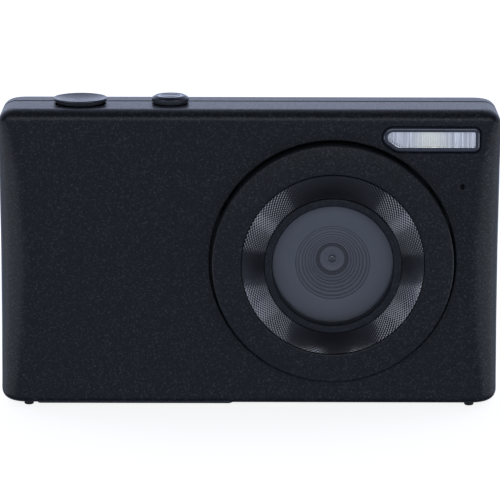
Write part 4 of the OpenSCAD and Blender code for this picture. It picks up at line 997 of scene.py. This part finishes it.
for key in ("mode", "playback", "menu", "delete"):
    at = across(f"{key}_key")
    key_cap(key, lathe(at, "Y", key_profile(2.8), 96), f"{key}_key")
    add_marks(key, at)


def ok_part():
    low = box_mm("ok_key")[0][1]
    skirt = REAR_Y - WALL - 1.65
    r = 3.9
    profile = [(0, low), (0.8, low), (0.8, skirt), (4.8, skirt), (4.8, skirt + 0.45), (r, skirt + 0.45),
               (r, KEY_Y - 0.22), (r - 0.06, KEY_Y - 0.1), (r - 0.2, KEY_Y - 0.03), (r - 0.6, KEY_Y - 0.06),
               (1.6, KEY_Y - 0.17), (0, KEY_Y - 0.19)]
    return lathe(across("ok_key"), "Y", profile, 128)


key_cap("ok", ok_part(), "ok_key")


def arrow_part(angle, span=80.0, steps=30):
    """One quarter of the direction pad, its face rounded off towards the edges."""
    centre_x, centre_z = across("ok_key")
    inner = REAR_Y - WALL
    levels = [(4.3, 8.8, inner - 0.8, 0.0), (4.3, 8.8, KEY_Y - 0.32, 0.0), (4.36, 8.74, KEY_Y - 0.18, 0.06),
              (4.5, 8.6, KEY_Y - 0.07, 0.2), (4.75, 8.35, KEY_Y - 0.03, 0.45)]
    sections = []
    for r0, r1, y, margin in levels:
        outline = []
        for r, direction in ((r1, 1), (r0, -1)):
            half = math.radians(span / 2) - margin / r
            for k in range(steps + 1):
                t = (2 * k / steps - 1) * direction
                a = math.radians(angle) + half * t
                outline.append((centre_x + r * math.cos(a), centre_z + r * math.sin(a)))
        sections.append((outline, y))
    return loft("Y", sections)


for key, angle in ARROWS.items():
    spot = arc(*across("ok_key"), 6.5, angle, angle, 1)[0]
    y0, y1 = REAR_Y - WALL - 1.9, REAR_Y - WALL - 0.75
    foot = lathe(spot, "Y", [(0, y0), (0.8, y0), (0.8, y1), (0, y1)], 32)
    key_cap(key, joined(arrow_part(angle), foot), f"{key}_key")
    add_marks(key, spot)


def zoom_part():
    at = middle("zoom_rocker")
    centre = (at[0], at[2])
    inner = REAR_Y - WALL
    body = []
    for margin, y in ((0.0, inner - 1.0), (0.0, KEY_Y - 0.35), (-0.05, KEY_Y - 0.2), (-0.18, KEY_Y - 0.08),
                      (-0.4, KEY_Y - 0.04)):
        body.append((capsule(centre, ZOOM_HALF, margin), y))
    ribs = []
    for side in (-1, 1):
        for i in range(4):
            x = at[0] + side * (3.6 + i * 0.8)
            outline = round_rect((x - 0.16, x + 0.16), (at[2] - 1.25, at[2] + 1.25), [0.15] * 4, 4)
            small = round_rect((x - 0.08, x + 0.08), (at[2] - 1.15, at[2] + 1.15), [0.07] * 4, 4)
            ribs.append(loft("Y", [(outline, KEY_Y - 0.2), (outline, KEY_Y - 0.02), (small, KEY_Y)]))
    wing = brick((at[0] - 8.3, inner - 1.0, at[2] - 2.0), (at[0] + 8.3, inner - 0.45, at[2] + 2.0))
    return joined(loft("Y", body), wing, *ribs)


key_cap("zoom", zoom_part(), "zoom_rocker")


# ---- display, door, feet


def screen_part():
    low, high = box_mm("lcd_window")
    levels = []
    for margin, y in ((0.0, low[1]), (0.0, high[1] - 0.12), (0.06, high[1] - 0.03), (0.16, high[1])):
        levels.append((round_rect((low[0] + margin, high[0] - margin), (low[2] + margin, high[2] - margin),
                                  [1.2 - margin] * 4, 8), y))
    return loft("Y", levels)


piece("screen_window", screen_part(), SCREEN, stands_for=["lcd_window"], slot="screen_glass", crease=20)


def door_part():
    low, high = box_mm("battery_door")
    z0, z1 = low[2], BASE_Z - 0.05
    x0, x1, y0, y1 = low[0], high[0], low[1], high[1]
    levels = []
    for dx, slant, margin, z in ((0.0, 0.0, 0.0, z1), (0.0, 0.55, 0.0, z0 + 0.1), (0.06, 0.75, 0.1, z0)):
        outline = round_rect((x0 + dx, x1 - slant - 0.02), (y0 + margin, y1 - margin), [0.5] * 4, 6)
        levels.append((outline, z))
    plate = loft("Z", levels)
    lid = brick((x0 + 2.4, y0, z1), (x1 - 2.45, y1, BASE_Z + 0.9))
    grooves = []
    for i in range(5):
        x = x1 - 9.0 - i * 1.0
        outline = capsule((x, (y0 + y1) / 2), (0.2, 2.6))
        grooves.append(loft("Z", [(outline, z0 - 0.3), (outline, z0 + 0.14)]))
    rails = []
    plate_low, plate_high = box_mm("door_hinge_plate")
    clearance, thick = 0.08, 0.3
    top = plate_high[2] + clearance
    for y, side in ((plate_low[1] - clearance, -1), (plate_high[1] + clearance, 1)):
        foot = (y, y + side * thick)
        lip = (y + side * thick, y - side * 0.5)
        rails.append(brick((-30, min(foot), BASE_Z + 0.85), (-12, max(foot), top + thick)))
        rails.append(brick((-30, min(lip), top), (-12, max(lip), top + thick)))
    return plate, joined(lid, *rails), joined(*grooves)


plate, lid, grooves = door_part()
door = raw_object("door_cover", plate)
carve(door, grooves)
carve(door, lid, "UNION")
settle(door, PAINT, body="door", stands_for=["battery_door"], slot="body_paint", crease=25)


def feet_part():
    low, high = box_mm("rubber_feet")
    peg_top = BASE_Z + 1.3
    parts = []
    for x in (-1, 1):
        for y0, y1 in ((low[1], low[1] + 4.0), (high[1] - 4.0, high[1])):
            cx, cy = x * (high[0] - 0.9), (y0 + y1) / 2
            levels = ((-0.18, 0.0), (-0.04, 0.08), (0.0, 0.2), (0.0, BASE_Z + 0.02))
            parts.append(loft("Z", [(capsule((cx, cy), (0.9, 2.0), margin), z) for margin, z in levels]))
            parts.append(lathe((cx, cy), "Z", [(0, BASE_Z), (0.6, BASE_Z), (0.6, peg_top), (0, peg_top)], 24))
    return joined(*parts)


piece("feet", feet_part(), RUBBER, stands_for=["rubber_feet"], slot="rubber_black", crease=40)


# ---- CAD pieces that stay

FINISHES = {
    "chassis": STEEL, "lcd_backlight": STEEL, "card_socket": STEEL, "usb_port": STEEL, "key_domes": STEEL,
    "door_hinge_plate": STEEL, "microphone": PLASTIC, "case_screws": SCREW, "inner_screws": SCREW,
    "strap_pin": STEEL, "shutter_spring": STEEL, "door_hinge_pin": SCREW, "tripod_nut": BRASS,
    "lens_window": GLASS, "lens_barrel": BARREL, "front_lens": LENS_GLASS, "rear_lens": LENS_GLASS,
    "ir_filter": FILTER_GLASS, "aperture_ring": BARREL, "lens_holder": PLASTIC, "image_sensor": SILICON,
    "sensor_board": BOARD, "top_board": BOARD, "main_board": BOARD, "key_board": BOARD,
    "flash_reflector": CHROME, "flash_led_board": LED, "speaker": PLASTIC, "button_bracket": PLASTIC,
    "tact_switches": PLASTIC, "lcd_panel": PANEL, "battery": PACK, "battery_box": PLASTIC,
    "battery_contacts": GOLD, "battery_latch": ORANGE, "memory_card": CARD, "status_light_pipe": LIGHT,
}
for node, finish in FINISHES.items():
    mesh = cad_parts[node].data
    mesh.materials.clear()
    mesh.materials.append(finish)


for clear_piece in (bpy.data.objects["flash_pane"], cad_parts["lens_window"]):
    clear_piece.visible_shadow = False
    clear_piece.visible_diffuse = False
    clear_piece.visible_glossy = False


# ---- floor, light and camera


def stage_plane(name, size, material):
    plane = raw_object(name, ([(-size, -size, 0), (size, -size, 0), (size, size, 0), (-size, size, 0)],
                              [(0, 1, 2, 3)]))
    plane.data.transform(Matrix.Scale(MM, 4))
    plane.data.materials.append(material)
    return plane


def floor_material():
    n = Nodes("floor_white")
    grain = n.noise(40.0, 2.0)
    n.set(Base_Color=n.blend(grain, (0.7, 0.7, 0.705), (0.72, 0.72, 0.72)), Roughness=0.9,
          Specular_IOR_Level=0.1, Emission_Color=(1, 1, 1, 1), Emission_Strength=0.85)
    return n.material


floor = stage_plane("floor", 6000, floor_material())
floor.visible_diffuse = False
floor.visible_glossy = False
floor.visible_shadow = False


def soft_light(name, spot, aim, size, power):
    data = bpy.data.lights.new(name, "AREA")
    data.shape = "RECTANGLE"
    data.size, data.size_y = size
    data.energy = power
    data.color = (0.84, 0.9, 1.0)
    lamp = bpy.data.objects.new(name, data)
    lamp.location = spot
    lamp.rotation_mode = "QUATERNION"
    lamp.rotation_quaternion = (Vector(aim) - Vector(spot)).to_track_quat("-Z", "Y")
    lamp.visible_camera = False
    bpy.context.scene.collection.objects.link(lamp)


for side, name in ((-1, "left"), (1, "right")):
    spot = (side * 0.6, -0.36, -0.14)
    soft_light(f"{name}_softbox", spot, (0, *spot[1:]), (1.3, 0.3), 1.2)
soft_light("front_softbox", (0, -1.6, 0.68), (0, 0, 0.03), (1.7, 0.6), 6.3)


# Brightness of the surroundings by the angle above the horizon in front of the object, in degrees:
# 90 is overhead and 180 is the horizon behind it.
SKY = [
    (-180, 0.8), (-150, 0.3), (-90, 0.015), (-66, 0.02), (-47, 0.32), (-32, 0.42), (-6, 0.34), (3, 0.22),
    (25, 0.08), (38, 0.0), (72, 0.02), (92, 0.25), (115, 0.6), (140, 0.95), (165, 1.28), (180, 1.28)
]
SKY_TINT = (0.67, 0.75, 1.0, 1)


def studio_world():
    """Soft studio: bright low down behind the object, dim in front, plain white where the camera looks."""
    world = bpy.data.worlds.new("studio")
    bpy.context.scene.world = world
    world.use_nodes = True
    tree = world.node_tree
    background = tree.nodes["Background"]

    def link(node, *values):
        for socket, value in zip(node.inputs, values):
            if isinstance(value, bpy.types.NodeSocket):
                tree.links.new(value, socket)
            else:
                socket.default_value = value
        return node

    def math_node(operation, *values):
        node = tree.nodes.new("ShaderNodeMath")
        node.operation = operation
        return link(node, *values).outputs[0]

    coords = tree.nodes.new("ShaderNodeTexCoord").outputs["Generated"]
    split = link(tree.nodes.new("ShaderNodeSeparateXYZ"), coords).outputs
    turn = math_node("ARCTAN2", split["Z"], math_node("MULTIPLY", split["Y"], -1.0))
    ramp = tree.nodes.new("ShaderNodeValToRGB")
    link(ramp, math_node("MULTIPLY_ADD", turn, 1 / TAU, 0.5))
    stops = ramp.color_ramp.elements
    peak = max(level for angle, level in SKY)
    while len(stops) < len(SKY):
        stops.new(0.5)
    for stop, (angle, level) in zip(stops, SKY):
        stop.position = (angle + 180) / 360
        stop.color = (level / peak, level / peak, level / peak, 1)
    level = math_node("MULTIPLY", ramp.outputs["Color"], peak)
    path = tree.nodes.new("ShaderNodeLightPath")
    strength = math_node("MAXIMUM", level, path.outputs["Is Camera Ray"])
    tree.links.new(strength, background.inputs["Strength"])
    tint = tree.nodes.new("ShaderNodeMix")
    tint.data_type = "RGBA"
    tree.links.new(path.outputs["Is Camera Ray"], tint.inputs["Factor"])
    tint.inputs["A"].default_value = SKY_TINT
    tint.inputs["B"].default_value = (1, 1, 1, 1)
    tree.links.new(tint.outputs["Result"], background.inputs["Color"])


studio_world()

ELEVATION = math.radians(12.7)
DISTANCE = 0.607
ROLL = 0.13
target = Vector((0, FRONT_Y, (BASE_Z + TOP_Z) / 2)) * MM
camera_data = bpy.data.cameras.new("camera")
camera_data.sensor_width = 36
camera_data.lens = 230.4
camera_data.shift_x = 0.0014
camera_data.shift_y = 0.0176
camera_data.clip_start, camera_data.clip_end = 0.01, 100
camera = bpy.data.objects.new("view_camera", camera_data)
back = Vector((0, -math.cos(ELEVATION), math.sin(ELEVATION)))
camera.location = target + back * DISTANCE
camera.rotation_mode = "QUATERNION"
camera.rotation_quaternion = (-back).to_track_quat("-Z", "Y") @ Quaternion((0, 0, 1), math.radians(ROLL))
bpy.context.scene.collection.objects.link(camera)
bpy.context.scene.camera = camera
bpy.context.scene.view_settings.view_transform = "Standard"
